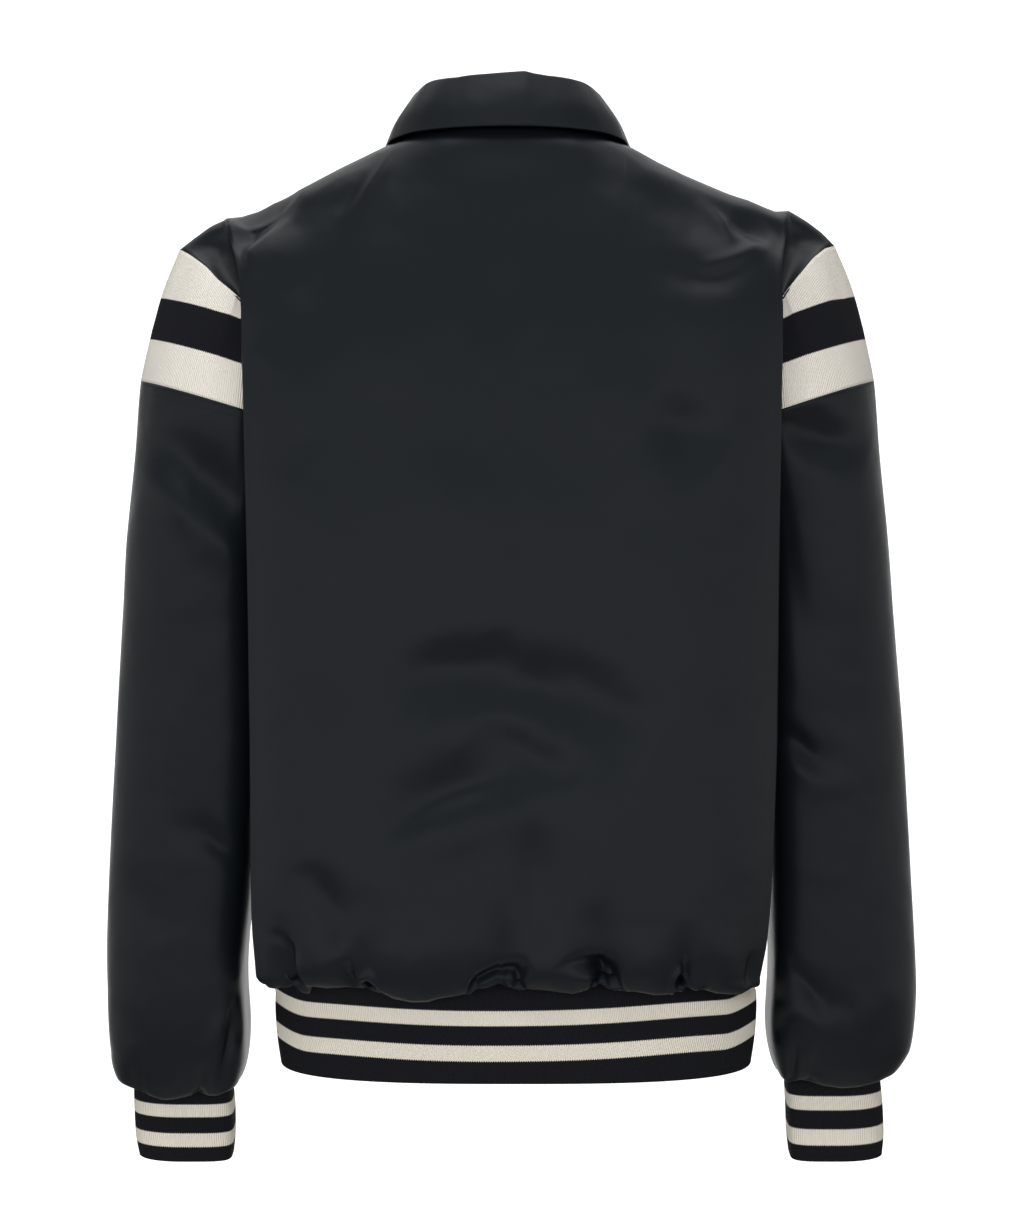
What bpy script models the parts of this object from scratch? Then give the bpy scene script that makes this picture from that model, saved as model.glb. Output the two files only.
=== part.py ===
"""A satin varsity jacket, filled out with no wearer, as separate walls of cloth.

Metres, +Z up. +X is the wearer's left and the wearer faces -Y. The origin is the middle of the
neck opening, at the height of the seam between back and collar. Each piece is a grid of points
on its outer face, given thickness towards its inner side. Pieces that are sewn together share
the points of their seam and are then eased apart by half the seam gap each.
"""

import math
from collections import namedtuple

import bpy
import numpy as np

# Cloth
SATIN_THICK = 0.0012
KNIT_THICK = 0.0020
COLLAR_THICK = 0.0018
SEAM_GAP = 0.0004

# Neck and shoulders. The neck seam falls by NECK_DROP from its sides to the centre front. The
# shoulder seam runs from the neck's side to the tip, and puckers up over the fold edge.
NECK_HALF_WIDTH = 0.088
NECK_BACK = 0.080
NECK_FRONT = 0.082
NECK_DROP = 0.078
NECK_STEPS = 4
SHOULDER_FOLD_X = 0.2135
SHOULDER_TIP = (0.2499, 0.0, -0.0765)
NECK_SIDE_Z = 0.0025
SHOULDER_PUCKER = 0.0105
SHOULDER_PUCKER_X = 0.222
SHOULDER_PUCKER_WIDTH = 0.030
SHOULDER_PUCKER_END = 0.008
NECK_DIP_POWER = 1.4

# Closing at the centre front: how far each front reaches past the centre, how far the layers
# stand apart there, and how far out that fades.
OVERLAP = 0.015
OVERLAP_LIFT = 0.0016
OVERLAP_FADE = 0.045
SNAP_RADIUS = 0.0075
SNAP_HEIGHT = 0.0030
SNAP_SIDES = 10
SNAP_HEIGHTS = (-0.135, -0.225, -0.315, -0.405, -0.495, -0.575)
HEM_SNAP_DROP = 0.036
# Radius and height of each ring of a snap's cap, against the cap's own
SNAP_PROFILE = ((1.0, 0.0), (1.0, 0.3), (0.75, 0.8))

# Striped insert: its lower seam at the sleeve's outer side and that seam's slope, how far down the
# armhole it reaches, as a place in that table, and its least height at its ends.
INSERT_OUTER_X = 0.2795
INSERT_OUTER_Z = -0.177
INSERT_SLOPE = 0.32
INSERT_END = 5
INSERT_LEAST = 0.001
INSERT_ROUNDS = 6

# Hem band and cuffs
HEM_HEIGHT = 0.080
HEM_BULGE = 0.006
CUFF_HEIGHT = 0.066
# Share of the band's height and of its bulge, under the seam's own row
HEM_PROFILE = ((0.4, 1.0), (1.0, 0.3))
# Share of the cuff's height, and its width and depth against the seam's
CUFF_PROFILE = ((0.35, 1.05, 1.12), (0.80, 1.05, 1.14), (1.0, 1.00, 1.06))

# Each level of the body: heights at the centre and at the fold edge, depth at the centre, place
# of the fold edge (on the front, of the rounded corner), how flat the cloth is between them, and
# the side seam's distance from the middle. From "scye" up, the armhole takes the side seam's place.
Level = namedtuple("Level", "name z_centre z_fold centre_y fold_x fold_y flat side_x")
BACK_LEVELS = (
    Level("hem seam", -0.6170, -0.6130, 0.112, 0.1520, 0.080, 2.6, 0.1765),
    Level("overhang", -0.6295, -0.6275, 0.128, 0.1795, 0.088, 3.6, 0.1850),
    Level("blouse", -0.6060, -0.6080, 0.140, 0.1860, 0.094, 4.5, 0.1872),
    Level("loin", -0.5600, -0.5600, 0.142, 0.1900, 0.097, 5.0, 0.1810),
    Level("waist", -0.4550, -0.4550, 0.139, 0.1925, 0.098, 6.0, 0.1760),
    Level("chest", -0.3450, -0.3450, 0.135, 0.1940, 0.098, 6.0, 0.1740),
    Level("underarm", -0.2850, -0.2850, 0.132, 0.1950, 0.098, 6.0, 0.1740),
    Level("scye", -0.2350, -0.2350, 0.128, 0.1960, 0.098, 6.0, None),
    Level("insert end", -0.1850, -0.1850, 0.124, 0.1970, 0.097, 5.5, None),
    Level("blade", -0.1450, -0.1500, 0.119, 0.1980, 0.096, 5.0, None),
    Level("yoke", -0.1100, -0.1236, 0.112, 0.1985, 0.093, 4.5, None),
    Level("slope", -0.0750, -0.0950, 0.104, 0.2005, 0.080, 3.5, None),
    Level("crest", -0.0380, -0.0720, 0.094, 0.2070, 0.047, 2.6, None),
)
FRONT_LEVELS = (
    Level("hem seam", -0.6050, -0.6080, -0.103, 0.1520, -0.068, 2.4, 0.1765),
    Level("overhang", -0.6175, -0.6205, -0.118, 0.1700, -0.075, 2.6, 0.1835),
    Level("blouse", -0.5960, -0.5990, -0.129, 0.1760, -0.080, 2.6, 0.1870),
    Level("loin", -0.5550, -0.5570, -0.131, 0.1740, -0.080, 2.6, 0.1810),
    Level("waist", -0.4550, -0.4550, -0.126, 0.1680, -0.078, 2.5, 0.1760),
    Level("chest", -0.3450, -0.3450, -0.117, 0.1650, -0.076, 2.5, 0.1740),
    Level("underarm", -0.2900, -0.2900, -0.113, 0.1650, -0.076, 2.5, 0.1740),
    Level("scye", -0.2450, -0.2450, -0.110, 0.1720, -0.076, 2.5, None),
    Level("insert end", -0.2080, -0.2050, -0.107, 0.1750, -0.076, 2.5, None),
    Level("blade", -0.1780, -0.1700, -0.104, 0.1800, -0.075, 2.4, None),
    Level("yoke", -0.1500, -0.1350, -0.101, 0.1860, -0.070, 2.3, None),
    Level("slope", -0.1240, -0.1030, -0.096, 0.1940, -0.056, 2.2, None),
    Level("crest", -0.1000, -0.0760, -0.090, 0.2040, -0.030, 2.0, None),
)
UNDERARM = 6
TOP = len(BACK_LEVELS)
# From the crest, halfway round to the top edge: how much of the way has been gone in x, y and z
ROUNDING = (0.5, 0.29, 0.71)

# The armhole seam from the shoulder tip down the back and up the front. The angle is where each
# point's column runs round the sleeve, from its outer side over the back.
Scye = namedtuple("Scye", "name x y z angle")
ARMHOLE = (
    Scye("tip", *SHOULDER_TIP, 0),
    Scye("back crest", 0.2365, 0.030, -0.0855, 28),
    Scye("back slope", 0.2205, 0.055, -0.0990, 55),
    Scye("back yoke", 0.1985, 0.082, -0.1236, 100),
    Scye("back blade", 0.1925, 0.081, -0.1650, 118),
    Scye("back insert end", 0.1880, 0.072, -0.2036, 135),
    Scye("back scye", 0.1835, 0.045, -0.2620, 158),
    Scye("underarm", 0.1740, 0.000, -0.3000, 180),
    Scye("front scye", 0.1825, -0.042, -0.2620, 202),
    Scye("front insert end", 0.1870, -0.066, -0.2036, 225),
    Scye("front blade", 0.1915, -0.073, -0.1650, 242),
    Scye("front yoke", 0.1985, -0.072, -0.1280, 260),
    Scye("front slope", 0.2180, -0.054, -0.1020, 305),
    Scye("front crest", 0.2355, -0.030, -0.0865, 332),
)
ARM_TURN = len(ARMHOLE)
ARM_LOW = 7

# Each ring of the sleeve: height, inner and outer side, middle and half of its depth, and how
# far it dips towards the back.
Ring = namedtuple("Ring", "z inner outer middle half_depth dip")
SLEEVE_RINGS = (
    Ring(-0.0750, 0.1960, 0.2495, 0.000, 0.0740, 0.00),
    Ring(-0.1070, 0.1920, 0.2625, 0.000, 0.0780, 0.00),
    Ring(-0.1375, 0.1900, 0.2712, 0.000, 0.0790, 0.00),
    Ring(-0.1770, 0.1880, 0.2795, 0.000, 0.0770, 0.00),
    Ring(-0.2350, 0.1890, 0.2838, 0.000, 0.0730, 0.00),
    Ring(-0.3000, 0.1910, 0.2900, -0.001, 0.0690, 0.00),
    Ring(-0.3600, 0.1920, 0.2940, -0.003, 0.0660, 0.00),
    Ring(-0.4500, 0.1925, 0.3005, -0.007, 0.0630, 0.00),
    Ring(-0.5400, 0.1965, 0.3060, -0.012, 0.0610, 0.02),
    Ring(-0.6200, 0.2010, 0.3100, -0.018, 0.0590, 0.05),
    Ring(-0.6720, 0.1995, 0.3095, -0.024, 0.0570, 0.09),
    Ring(-0.7000, 0.2020, 0.3055, -0.028, 0.0500, 0.12),
    Ring(-0.7150, 0.2085, 0.2965, -0.030, 0.0380, 0.12),
    Ring(-0.7040, 0.2145, 0.2865, -0.031, 0.0245, 0.12),
)
MERGE = 6
RING_POWER = 2.2

# The collar, by its angle from the centre back: height of its fold above the neck seam, how far
# the fold leans in, how far the lower edge stands out and drops, and how far it is drawn round
# towards the side.
Station = namedtuple("Station", "angle rise lean out drop spread")
COLLAR_STATIONS = (
    Station(0, 0.0465, 0.0090, 0.0125, -0.0040, 0.000),
    Station(45, 0.0420, 0.0120, 0.0115, -0.0030, 0.000),
    Station(90, 0.0300, 0.0170, 0.0060, -0.0025, 0.000),
    Station(112, 0.0300, 0.0140, 0.0120, -0.0112, 0.002),
    Station(135, 0.0300, 0.0100, 0.0195, -0.0112, 0.006),
    Station(177, 0.0300, 0.0040, 0.0190, 0.0340, 0.028),
)
FOLD_RADIUS = 0.0030
FALL_BULGE = 0.0020
COLLAR_LIFT = 0.0011

# Where the grids are read
BODY_ROWS = (0, 0.5, 1, 1.5, 2, 3, 4, 5, 6, 7, 8, 9, 10, 10.5, 11, 11.5, 12, 12.5, 13)
SHOULDER_FRACTIONS = (0.50, 0.60, 0.70, 0.80, 0.90, 1.0)
SHOULDER_EASE = 0.08
TURN_FRACTIONS = (0.15, 0.35, 0.65, 1.0)
TURN_PULL = 0.2
SLEEVE_UPPER_ROWS = (0.2, 0.45, 0.7, 1.0)
SLEEVE_LOWER_ROWS = (7, 8, 9, 10, 10.5, 11, 11.5, 12, 12.5, 13)
INSERT_ROWS = (0, 1 / 3, 2 / 3, 1)

# How far the filled garment has settled to its left, by height: the body, and the sleeves at their
# inner and outer sides.
Sway = namedtuple("Sway", "z body inner outer")
SWAYS = (
    Sway(-0.775, 0.0000, 0.0005, 0.0008),
    Sway(-0.735, -0.0020, 0.0010, 0.0030),
    Sway(-0.712, -0.0030, 0.0025, 0.0045),
    Sway(-0.690, -0.0030, 0.0030, 0.0005),
    Sway(-0.640, -0.0030, 0.0035, 0.0000),
    Sway(-0.622, 0.0030, 0.0032, 0.0005),
    Sway(-0.600, 0.0015, 0.0025, 0.0010),
    Sway(-0.560, 0.0005, 0.0008, 0.0015),
    Sway(-0.450, -0.0015, -0.0007, 0.0020),
    Sway(-0.300, -0.0015, -0.0005, 0.0045),
    Sway(-0.130, -0.0010, 0.0000, 0.0050),
    Sway(-0.060, 0.0025, 0.0030, 0.0050),
    Sway(0.050, 0.0038, 0.0040, 0.0050),
)
SWAY_PLACES = (0.187, 0.199, 0.310)

# The largest folds of the back: a line from one end to the other, half width and depth. A
# positive depth stands out and a negative one lies in.
Crease = namedtuple("Crease", "x0 z0 x1 z1 width depth")
BACK_CREASES = (
    Crease(0.075, -0.388, -0.020, -0.414, 0.018, -0.0050),
    Crease(-0.028, -0.382, -0.073, -0.410, 0.018, -0.0040),
    Crease(0.070, -0.492, -0.005, -0.466, 0.016, -0.0050),
    Crease(0.050, -0.498, 0.012, -0.476, 0.014, 0.0040),
    Crease(-0.022, -0.450, -0.024, -0.590, 0.018, -0.0045),
    Crease(0.157, -0.625, 0.168, -0.575, 0.012, -0.0060),
    Crease(0.110, -0.630, 0.112, -0.590, 0.016, -0.0060),
    Crease(0.010, -0.630, 0.006, -0.600, 0.022, -0.0060),
    Crease(-0.066, -0.630, -0.062, -0.580, 0.018, -0.0070),
    Crease(-0.132, -0.630, -0.134, -0.595, 0.014, -0.0060),
)

CREASE_END = 0.15

# Materials: colour, roughness, metallic
SATIN = ("satin_charcoal", (0.018, 0.023, 0.029), 0.38, 0.0)
CREAM_KNIT = ("knit_cream", (0.53, 0.47, 0.40), 0.85, 0.0)
BLACK_KNIT = ("knit_black", (0.010, 0.012, 0.014), 0.85, 0.0)
SNAP_ENAMEL = ("snap_enamel", (0.020, 0.023, 0.027), 0.30, 0.6)


def unit(vectors):
    """The vectors at length one, and zero where they have none."""
    size = np.linalg.norm(vectors, axis=-1, keepdims=True)
    return vectors / np.maximum(size, 1e-12)


def through(values, places, last_slope=None, closed=False):
    """Points of the smooth curve that passes through values[0], values[1], ..., read at places."""
    values = np.asarray(values, float)
    if closed:
        slopes = (np.roll(values, -1, axis=0) - np.roll(values, 1, axis=0)) / 2
        values = np.concatenate([values, values[:1]])
        slopes = np.concatenate([slopes, slopes[:1]])
    else:
        slopes = np.gradient(values, axis=0)
    if last_slope is not None:
        slopes[-1] = last_slope
    places = np.asarray(places, float)
    index = np.clip(np.floor(places).astype(int), 0, len(values) - 2)
    t = (places - index).reshape((-1,) + (1,) * (values.ndim - 1))
    start, end = values[index], values[index + 1]
    return (
        (1 + 2 * t) * (1 - t) ** 2 * start
        + t * (1 - t) ** 2 * slopes[index]
        + t**2 * (3 - 2 * t) * end
        + t**2 * (t - 1) * slopes[index + 1]
    )


def shoulder_height(x):
    """Height of the shoulder seam at a distance from the middle, with its pucker over the fold."""
    slope = (SHOULDER_TIP[2] - NECK_SIDE_Z) / (SHOULDER_TIP[0] - NECK_HALF_WIDTH)
    pucker = SHOULDER_PUCKER * math.exp(-(((x - SHOULDER_PUCKER_X) / SHOULDER_PUCKER_WIDTH) ** 2))
    fade = min(1.0, (SHOULDER_TIP[0] - x) / SHOULDER_PUCKER_END)
    return NECK_SIDE_Z + slope * (x - NECK_HALF_WIDTH) + pucker * fade


def neck_point(angle):
    """A point of the neck seam, by its angle from the centre back round to the centre front."""
    x = NECK_HALF_WIDTH * math.sin(angle)
    if math.cos(angle) >= 0:
        return (x, NECK_BACK * math.cos(angle), NECK_SIDE_Z * math.sin(angle))
    forward = -math.cos(angle)
    return (x, -NECK_FRONT * forward, NECK_SIDE_Z - (NECK_SIDE_Z + NECK_DROP) * forward**NECK_DIP_POWER)


def top_point(fraction, side):
    """The body's upper edge: the neck seam, then the shoulder seam. side is 1 at the back, -1 in front."""
    x = abs(fraction) * SHOULDER_FOLD_X
    if x < NECK_HALF_WIDTH - 1e-9:
        angle = math.asin(x / NECK_HALF_WIDTH)
        point = neck_point(angle if side > 0 else math.pi - angle)
        return (math.copysign(point[0], fraction), point[1], point[2])
    return (x, 0.0, shoulder_height(x))


def level_point(level, fraction):
    """A point of a level, from the centre (0) to the fold edge (1)."""
    share = abs(fraction)
    y = level.fold_y + (level.centre_y - level.fold_y) * (1 - share**level.flat)
    z = level.z_centre + (level.z_fold - level.z_centre) * share**2
    return (fraction * level.fold_x, y, z)


def armhole(places):
    """Points of the armhole seam, by their place in its table."""
    return through([(row.x, row.y, row.z) for row in ARMHOLE], places, closed=True)


def side_edge(rows, side):
    """The outer edge of a body panel: the side seam, then the armhole up to the shoulder tip."""
    lower = []
    for back, front in zip(BACK_LEVELS[:UNDERARM], FRONT_LEVELS):
        lower.append((back.side_x, 0.0, (back.z_fold + front.z_fold) / 2))
    lower.append((ARMHOLE[ARM_LOW].x, ARMHOLE[ARM_LOW].y, ARMHOLE[ARM_LOW].z))
    points = []
    for row in rows:
        if row <= UNDERARM:
            points.append(through(lower, [row])[0])
        elif side > 0:
            points.append(armhole([TOP - row])[0])
        else:
            points.append(armhole([(ARM_TURN - (TOP - row)) % ARM_TURN])[0])
    return np.array(points)


def neck_fractions():
    """Where the columns under the neck seam stand, at even angles round it."""
    reach = NECK_HALF_WIDTH / SHOULDER_FOLD_X
    return [reach * math.sin(math.pi / 2 * step / NECK_STEPS) for step in range(NECK_STEPS + 1)]


def upright(levels, side, fraction):
    """The points that a column passes through: the levels, the rounding over the crest and the top."""
    points = [level_point(level, fraction) for level in levels] + [top_point(fraction, side)]
    points = np.array(points)
    rounding = points[-2] + (points[-1] - points[-2]) * ROUNDING
    return np.insert(points, TOP, rounding, axis=0)


def half_body(levels, other_levels, side, fractions, rows):
    """Outer points of half a body panel, row by row, from its first fraction out to the armhole."""
    columns = []
    crest = TOP - 1
    places = [row if row <= crest else crest + 2 * (row - crest) for row in rows]
    for fraction in fractions:
        points = upright(levels, side, fraction)
        across = (upright(other_levels, -side, fraction)[-2] - points[-2]) / 2
        own = points[-1] - points[-2]
        # Only the shoulder runs on over its seam; the neck's edge ends there.
        eased = (SHOULDER_FRACTIONS[0] - SHOULDER_EASE, SHOULDER_FRACTIONS[1])
        share = np.interp(abs(fraction), eased, (0.0, 1.0))
        columns.append(through(points, places, last_slope=own + (across - own) * share))
    grid = np.stack(columns, axis=1)
    fold, before = grid[:, -1], grid[:, -2]
    edge = side_edge(rows, side)
    reach = np.linalg.norm(edge - fold, axis=1, keepdims=True)
    leaving = unit(fold - before) * reach * TURN_PULL
    arriving = (edge - fold) * np.where(edge > fold, 1.0, (0.0, 1.0, 1.0))
    turned = []
    for t in TURN_FRACTIONS:
        turned.append(
            (1 + 2 * t) * (1 - t) ** 2 * fold
            + t * (1 - t) ** 2 * leaving
            + t**2 * (3 - 2 * t) * edge
            + t**2 * (t - 1) * arriving
        )
    return np.concatenate([grid, np.stack(turned, axis=1)], axis=1)


def mirrored(grid):
    """The grid on the wearer's other side."""
    return grid * np.array([-1.0, 1.0, 1.0])


def crease_depth(x, z):
    """How far the cloth of the back stands out at a place, from the table of its folds.

    A fold is deepest at its middle and keeps part of its depth at its ends.
    """
    depth = 0.0
    for fold in BACK_CREASES:
        along = np.array([fold.x1 - fold.x0, fold.z1 - fold.z0])
        place = np.array([x - fold.x0, z - fold.z0])
        share = min(1.0, max(0.0, float(place @ along) / float(along @ along)))
        off = float(np.linalg.norm(place - share * along)) / fold.width
        along_share = CREASE_END + (1 - 2 * CREASE_END) * share
        depth += fold.depth * math.exp(-(off**2)) * math.sin(math.pi * along_share)
    return depth


def back_grid():
    """Outer points of the back, from the wearer's right to the left."""
    fractions = neck_fractions() + list(SHOULDER_FRACTIONS)
    left = half_body(BACK_LEVELS, FRONT_LEVELS, 1, fractions, BODY_ROWS)
    grid = np.concatenate([mirrored(left)[:, :0:-1], left], axis=1)
    between_folds = slice(len(TURN_FRACTIONS), -len(TURN_FRACTIONS))
    for row in range(1, len(BODY_ROWS) - 1):
        for point in grid[row, between_folds]:
            point[1] += crease_depth(point[0], point[2])
    return grid


def front_grid(lift):
    """Outer points of one front, on the wearer's left, from its edge past the centre to the side."""
    fractions = neck_fractions() + list(SHOULDER_FRACTIONS)
    reach = OVERLAP / SHOULDER_FOLD_X
    grid = half_body(FRONT_LEVELS, BACK_LEVELS, -1, [-reach] + fractions, BODY_ROWS)
    share = np.clip((OVERLAP_FADE - grid[..., 0]) / (OVERLAP_FADE - OVERLAP), 0, 1)
    share = share * share * (3 - 2 * share)
    grid[..., 1] -= lift * share
    if lift < 0:
        # The lower layer doesn't hang over its hem seam, where the upper layer's hem band lies.
        raised = np.maximum(grid[..., 2], grid[:1, :, 2] + SATIN_THICK + 2 * SEAM_GAP)
        grid[1:, :, 2] += ((raised - grid[..., 2]) * share)[1:]
    return grid


def ring_point(place, angle):
    """A point of the sleeve's ring at a place in its table.

    The angle runs from the outer side over the back.
    """
    z, inner, outer, middle, half_depth, dip = through(SLEEVE_RINGS, [place])[0]
    c, s = math.cos(angle), math.sin(angle)
    x = (inner + outer) / 2 + (outer - inner) / 2 * math.copysign(abs(c) ** (2 / RING_POWER), c)
    y = half_depth * math.copysign(abs(s) ** (2 / RING_POWER), s)
    return np.array([x, middle + y, z - dip * y])


def ring_place(z):
    """The place in the table of a height above the merge level."""
    heights = [-ring.z for ring in SLEEVE_RINGS[: MERGE + 1]]
    return float(np.interp(-z, heights, range(MERGE + 1)))


def sleeve_point(start, angle, z):
    """A point of the upper sleeve: its ring, drawn over to the armhole towards the seam."""
    low = SLEEVE_RINGS[MERGE].z
    share = (start[2] - z) / (start[2] - low)
    fade = (1 - share) ** 2
    offset = start - ring_point(ring_place(start[2]), angle)
    point = ring_point(ring_place(z), angle) + offset * fade
    point[2] = z
    return point


def insert_seam(start, angle):
    """Where a column of the sleeve crosses the lower seam of the striped insert."""
    z = INSERT_OUTER_Z
    for _ in range(INSERT_ROUNDS):
        x = sleeve_point(start, angle, z)[0]
        z = min(INSERT_OUTER_Z - INSERT_SLOPE * (INSERT_OUTER_X - x), start[2] - INSERT_LEAST)
    return z


def sleeve_places():
    """Where the sleeve's columns meet the armhole, in step with the rows of the body."""
    back = [TOP - row for row in reversed(BODY_ROWS) if row >= UNDERARM]
    return back + [ARM_TURN - place for place in back[-2:0:-1]]


def sleeve_columns():
    """Each column's place, armhole point and angle."""
    places = sleeve_places()
    angles = [math.radians(row.angle) for row in ARMHOLE] + [2 * math.pi]
    turned = np.interp(places, range(ARM_TURN + 1), angles)
    return list(zip(places, armhole(places), turned))


def in_insert(place):
    return place <= INSERT_END or place >= ARM_TURN - INSERT_END


def sleeve_grid():
    """Outer points of the left lower sleeve, from the insert or the armhole down to the cuff seam."""
    low = SLEEVE_RINGS[MERGE].z
    columns = []
    for place, start, angle in sleeve_columns():
        top = insert_seam(start, angle) if in_insert(place) else start[2]
        first = sleeve_point(start, angle, top) if in_insert(place) else start
        points = [first]
        for share in SLEEVE_UPPER_ROWS:
            points.append(sleeve_point(start, angle, top + (low - top) * share))
        points += [ring_point(row, angle) for row in SLEEVE_LOWER_ROWS]
        columns.append(points)
    return np.array(columns).transpose(1, 0, 2)


def insert_grid():
    """Outer points of the left striped insert, from its back end over the shoulder to its front end."""
    columns = [column for column in sleeve_columns() if in_insert(column[0])]
    front = [column for column in columns if column[0] > ARM_LOW]
    back = [column for column in columns if column[0] < ARM_LOW]
    grid = []
    for _, start, angle in front + back:
        end = insert_seam(start, angle)
        points = [start]
        for share in INSERT_ROWS[1:]:
            points.append(sleeve_point(start, angle, start[2] + (end - start[2]) * share))
        grid.append(points)
    return np.array(grid).transpose(1, 0, 2)


def cuff_grid(seam):
    """Outer points of the left cuff, which hangs from the sleeve's last ring."""
    top = seam - np.array([0, 0, SEAM_GAP])
    centre = seam.mean(axis=0)
    rows = [top]
    for share, wide, deep in CUFF_PROFILE:
        ring = centre + (seam - centre) * np.array([wide, deep, deep])
        rows.append(ring - np.array([0, 0, SEAM_GAP + CUFF_HEIGHT * share]))
    return np.array(rows)


def hem_grid(back, left, right):
    """Outer points of the hem band, from the left front's edge round the back to the right front's."""
    seam = np.concatenate([left[0], back[0, ::-1][1:-1], right[0, ::-1]])
    seam = seam - np.array([0, 0, SEAM_GAP])
    outward = unit(seam * np.array([1.0, 1.0, 0.0]))
    rows = [seam]
    for share, bulge in HEM_PROFILE:
        rows.append(seam + outward * HEM_BULGE * bulge - np.array([0, 0, HEM_HEIGHT * share]))
    return np.array(rows)


def collar_section(angle):
    """The collar's visible face at one angle: up the stand, over the fold and down the fall."""
    angles = [math.radians(row.angle) for row in COLLAR_STATIONS]
    place = np.interp(angle, angles, range(len(angles)))
    _, rise, lean, out, drop, spread = through(COLLAR_STATIONS, [place])[0]
    seam = np.array(neck_point(angle))
    outward = np.array([math.sin(angle), math.cos(angle), 0.0])
    along = np.array([-math.cos(angle), math.sin(angle), 0.0])
    up = np.array([0.0, 0.0, 1.0])
    fold = seam + up * rise - outward * lean
    edge = seam - up * drop + outward * out + along * spread
    inner = fold - outward * FOLD_RADIUS - up * FOLD_RADIUS
    outer = fold + outward * FOLD_RADIUS - up * FOLD_RADIUS
    start = seam + up * COLLAR_LIFT - outward * COLLAR_THICK
    middle = (outer + edge) / 2 + outward * FALL_BULGE
    return [start, (start + inner) / 2, inner, fold, outer, middle, edge]


def collar_grid():
    """Outer points of the collar, from the left front end round the back to the right front end."""
    last = math.radians(COLLAR_STATIONS[-1].angle)
    angles = np.minimum(np.linspace(0, math.pi, 2 * NECK_STEPS + 1), last)
    left = np.array([collar_section(angle) for angle in angles]).transpose(1, 0, 2)
    return np.concatenate([left[:, ::-1], mirrored(left)[:, 1:]], axis=1)


def normals_of(grid, closed, turn):
    """Unit normals of a grid's points. turn is 1 or -1, to make them face out."""
    if closed:
        across = np.roll(grid, -1, axis=1) - np.roll(grid, 1, axis=1)
    else:
        across = np.gradient(grid, axis=1)
    return unit(np.cross(across, np.gradient(grid, axis=0))) * turn


def ease(grid, edge):
    """Moves one edge of a grid off its seam, towards the grid's inside, by half the seam gap."""
    view = np.moveaxis(grid, 1, 0) if edge in ("first column", "last column") else grid
    line, inside = (0, 1) if edge.startswith("first") else (-1, -2)
    view[line] += unit(view[inside] - view[line]) * SEAM_GAP / 2


def mitre(first, second, away):
    """One direction for both walls of a seam that bends inwards. away leads along the second wall."""
    bend = np.sum(first * away, axis=-1, keepdims=True)
    shared = unit(first + second)
    return np.where(bend < 0, shared, first), np.where(bend < 0, shared, second)


def material_of(finish):
    name, colour, roughness, metallic = finish
    if name in bpy.data.materials:
        return bpy.data.materials[name]
    material = bpy.data.materials.new(name)
    material.use_nodes = True
    shader = material.node_tree.nodes["Principled BSDF"]
    shader.inputs["Base Color"].default_value = (*colour, 1.0)
    shader.inputs["Roughness"].default_value = roughness
    shader.inputs["Metallic"].default_value = metallic
    material.diffuse_color = (*colour, 1.0)
    return material


def object_of(name, points, faces, finish):
    mesh = bpy.data.meshes.new(name)
    mesh.from_pydata([tuple(point) for point in points], [], faces)
    mesh.validate()
    mesh.shade_smooth()
    mesh.set_sharp_from_angle(angle=math.radians(50))
    mesh.materials.append(material_of(finish))
    piece = bpy.data.objects.new(name, mesh)
    bpy.context.scene.collection.objects.link(piece)
    return piece


def swayed(points):
    """The points, moved sideways as the whole garment has settled."""
    heights = [row.z for row in SWAYS]
    columns = [np.interp(points[..., 2], heights, column) for column in list(zip(*SWAYS))[1:]]
    inner_share, outer_share = (
        np.clip((np.abs(points[..., 0]) - low) / (high - low), 0, 1)
        for low, high in zip(SWAY_PLACES, SWAY_PLACES[1:])
    )
    body, inner, outer = columns
    moved = points.copy()
    moved[..., 0] += body + (inner - body) * inner_share + (outer - inner) * outer_share
    return moved


def halves(points, quad):
    """The two triangles of a quad, cut along its shorter diagonal."""
    a, b, c, d = quad
    if np.linalg.norm(points[a] - points[c]) <= np.linalg.norm(points[b] - points[d]):
        return [a, b, c], [a, c, d]
    return [a, b, d], [b, c, d]


def wall(name, grid, normals, thickness, finish, closed=False):
    """A closed wall of cloth on a grid of outer points, thickened against their normals."""
    rows, columns = grid.shape[:2]
    inner = swayed(grid - normals * thickness)
    grid = swayed(grid)
    points = np.concatenate([grid.reshape(-1, 3), inner.reshape(-1, 3)])
    count = rows * columns

    def at(row, column):
        return row * columns + column % columns

    faces = []
    spans = columns if closed else columns - 1
    for row in range(rows - 1):
        for column in range(spans):
            quad = [at(row, column), at(row, column + 1), at(row + 1, column + 1), at(row + 1, column)]
            for face in halves(points, quad):
                faces.append(face)
                faces.append([index + count for index in reversed(face)])
    border = [(at(0, column + 1), at(0, column)) for column in range(spans)]
    border += [(at(rows - 1, column), at(rows - 1, column + 1)) for column in range(spans)]
    if not closed:
        border += [(at(row, 0), at(row + 1, 0)) for row in range(rows - 1)]
        border += [(at(row + 1, columns - 1), at(row, columns - 1)) for row in range(rows - 1)]
    faces += [[a, b, b + count, a + count] for a, b in border]
    corner = grid[1, 1] - grid[0, 0]
    facing = np.cross(grid[0, 1] - grid[0, 0], corner) @ normals[0, 0]
    if facing < 0:
        faces = [face[::-1] for face in faces]
    return object_of(name, points, faces, finish)


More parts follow.
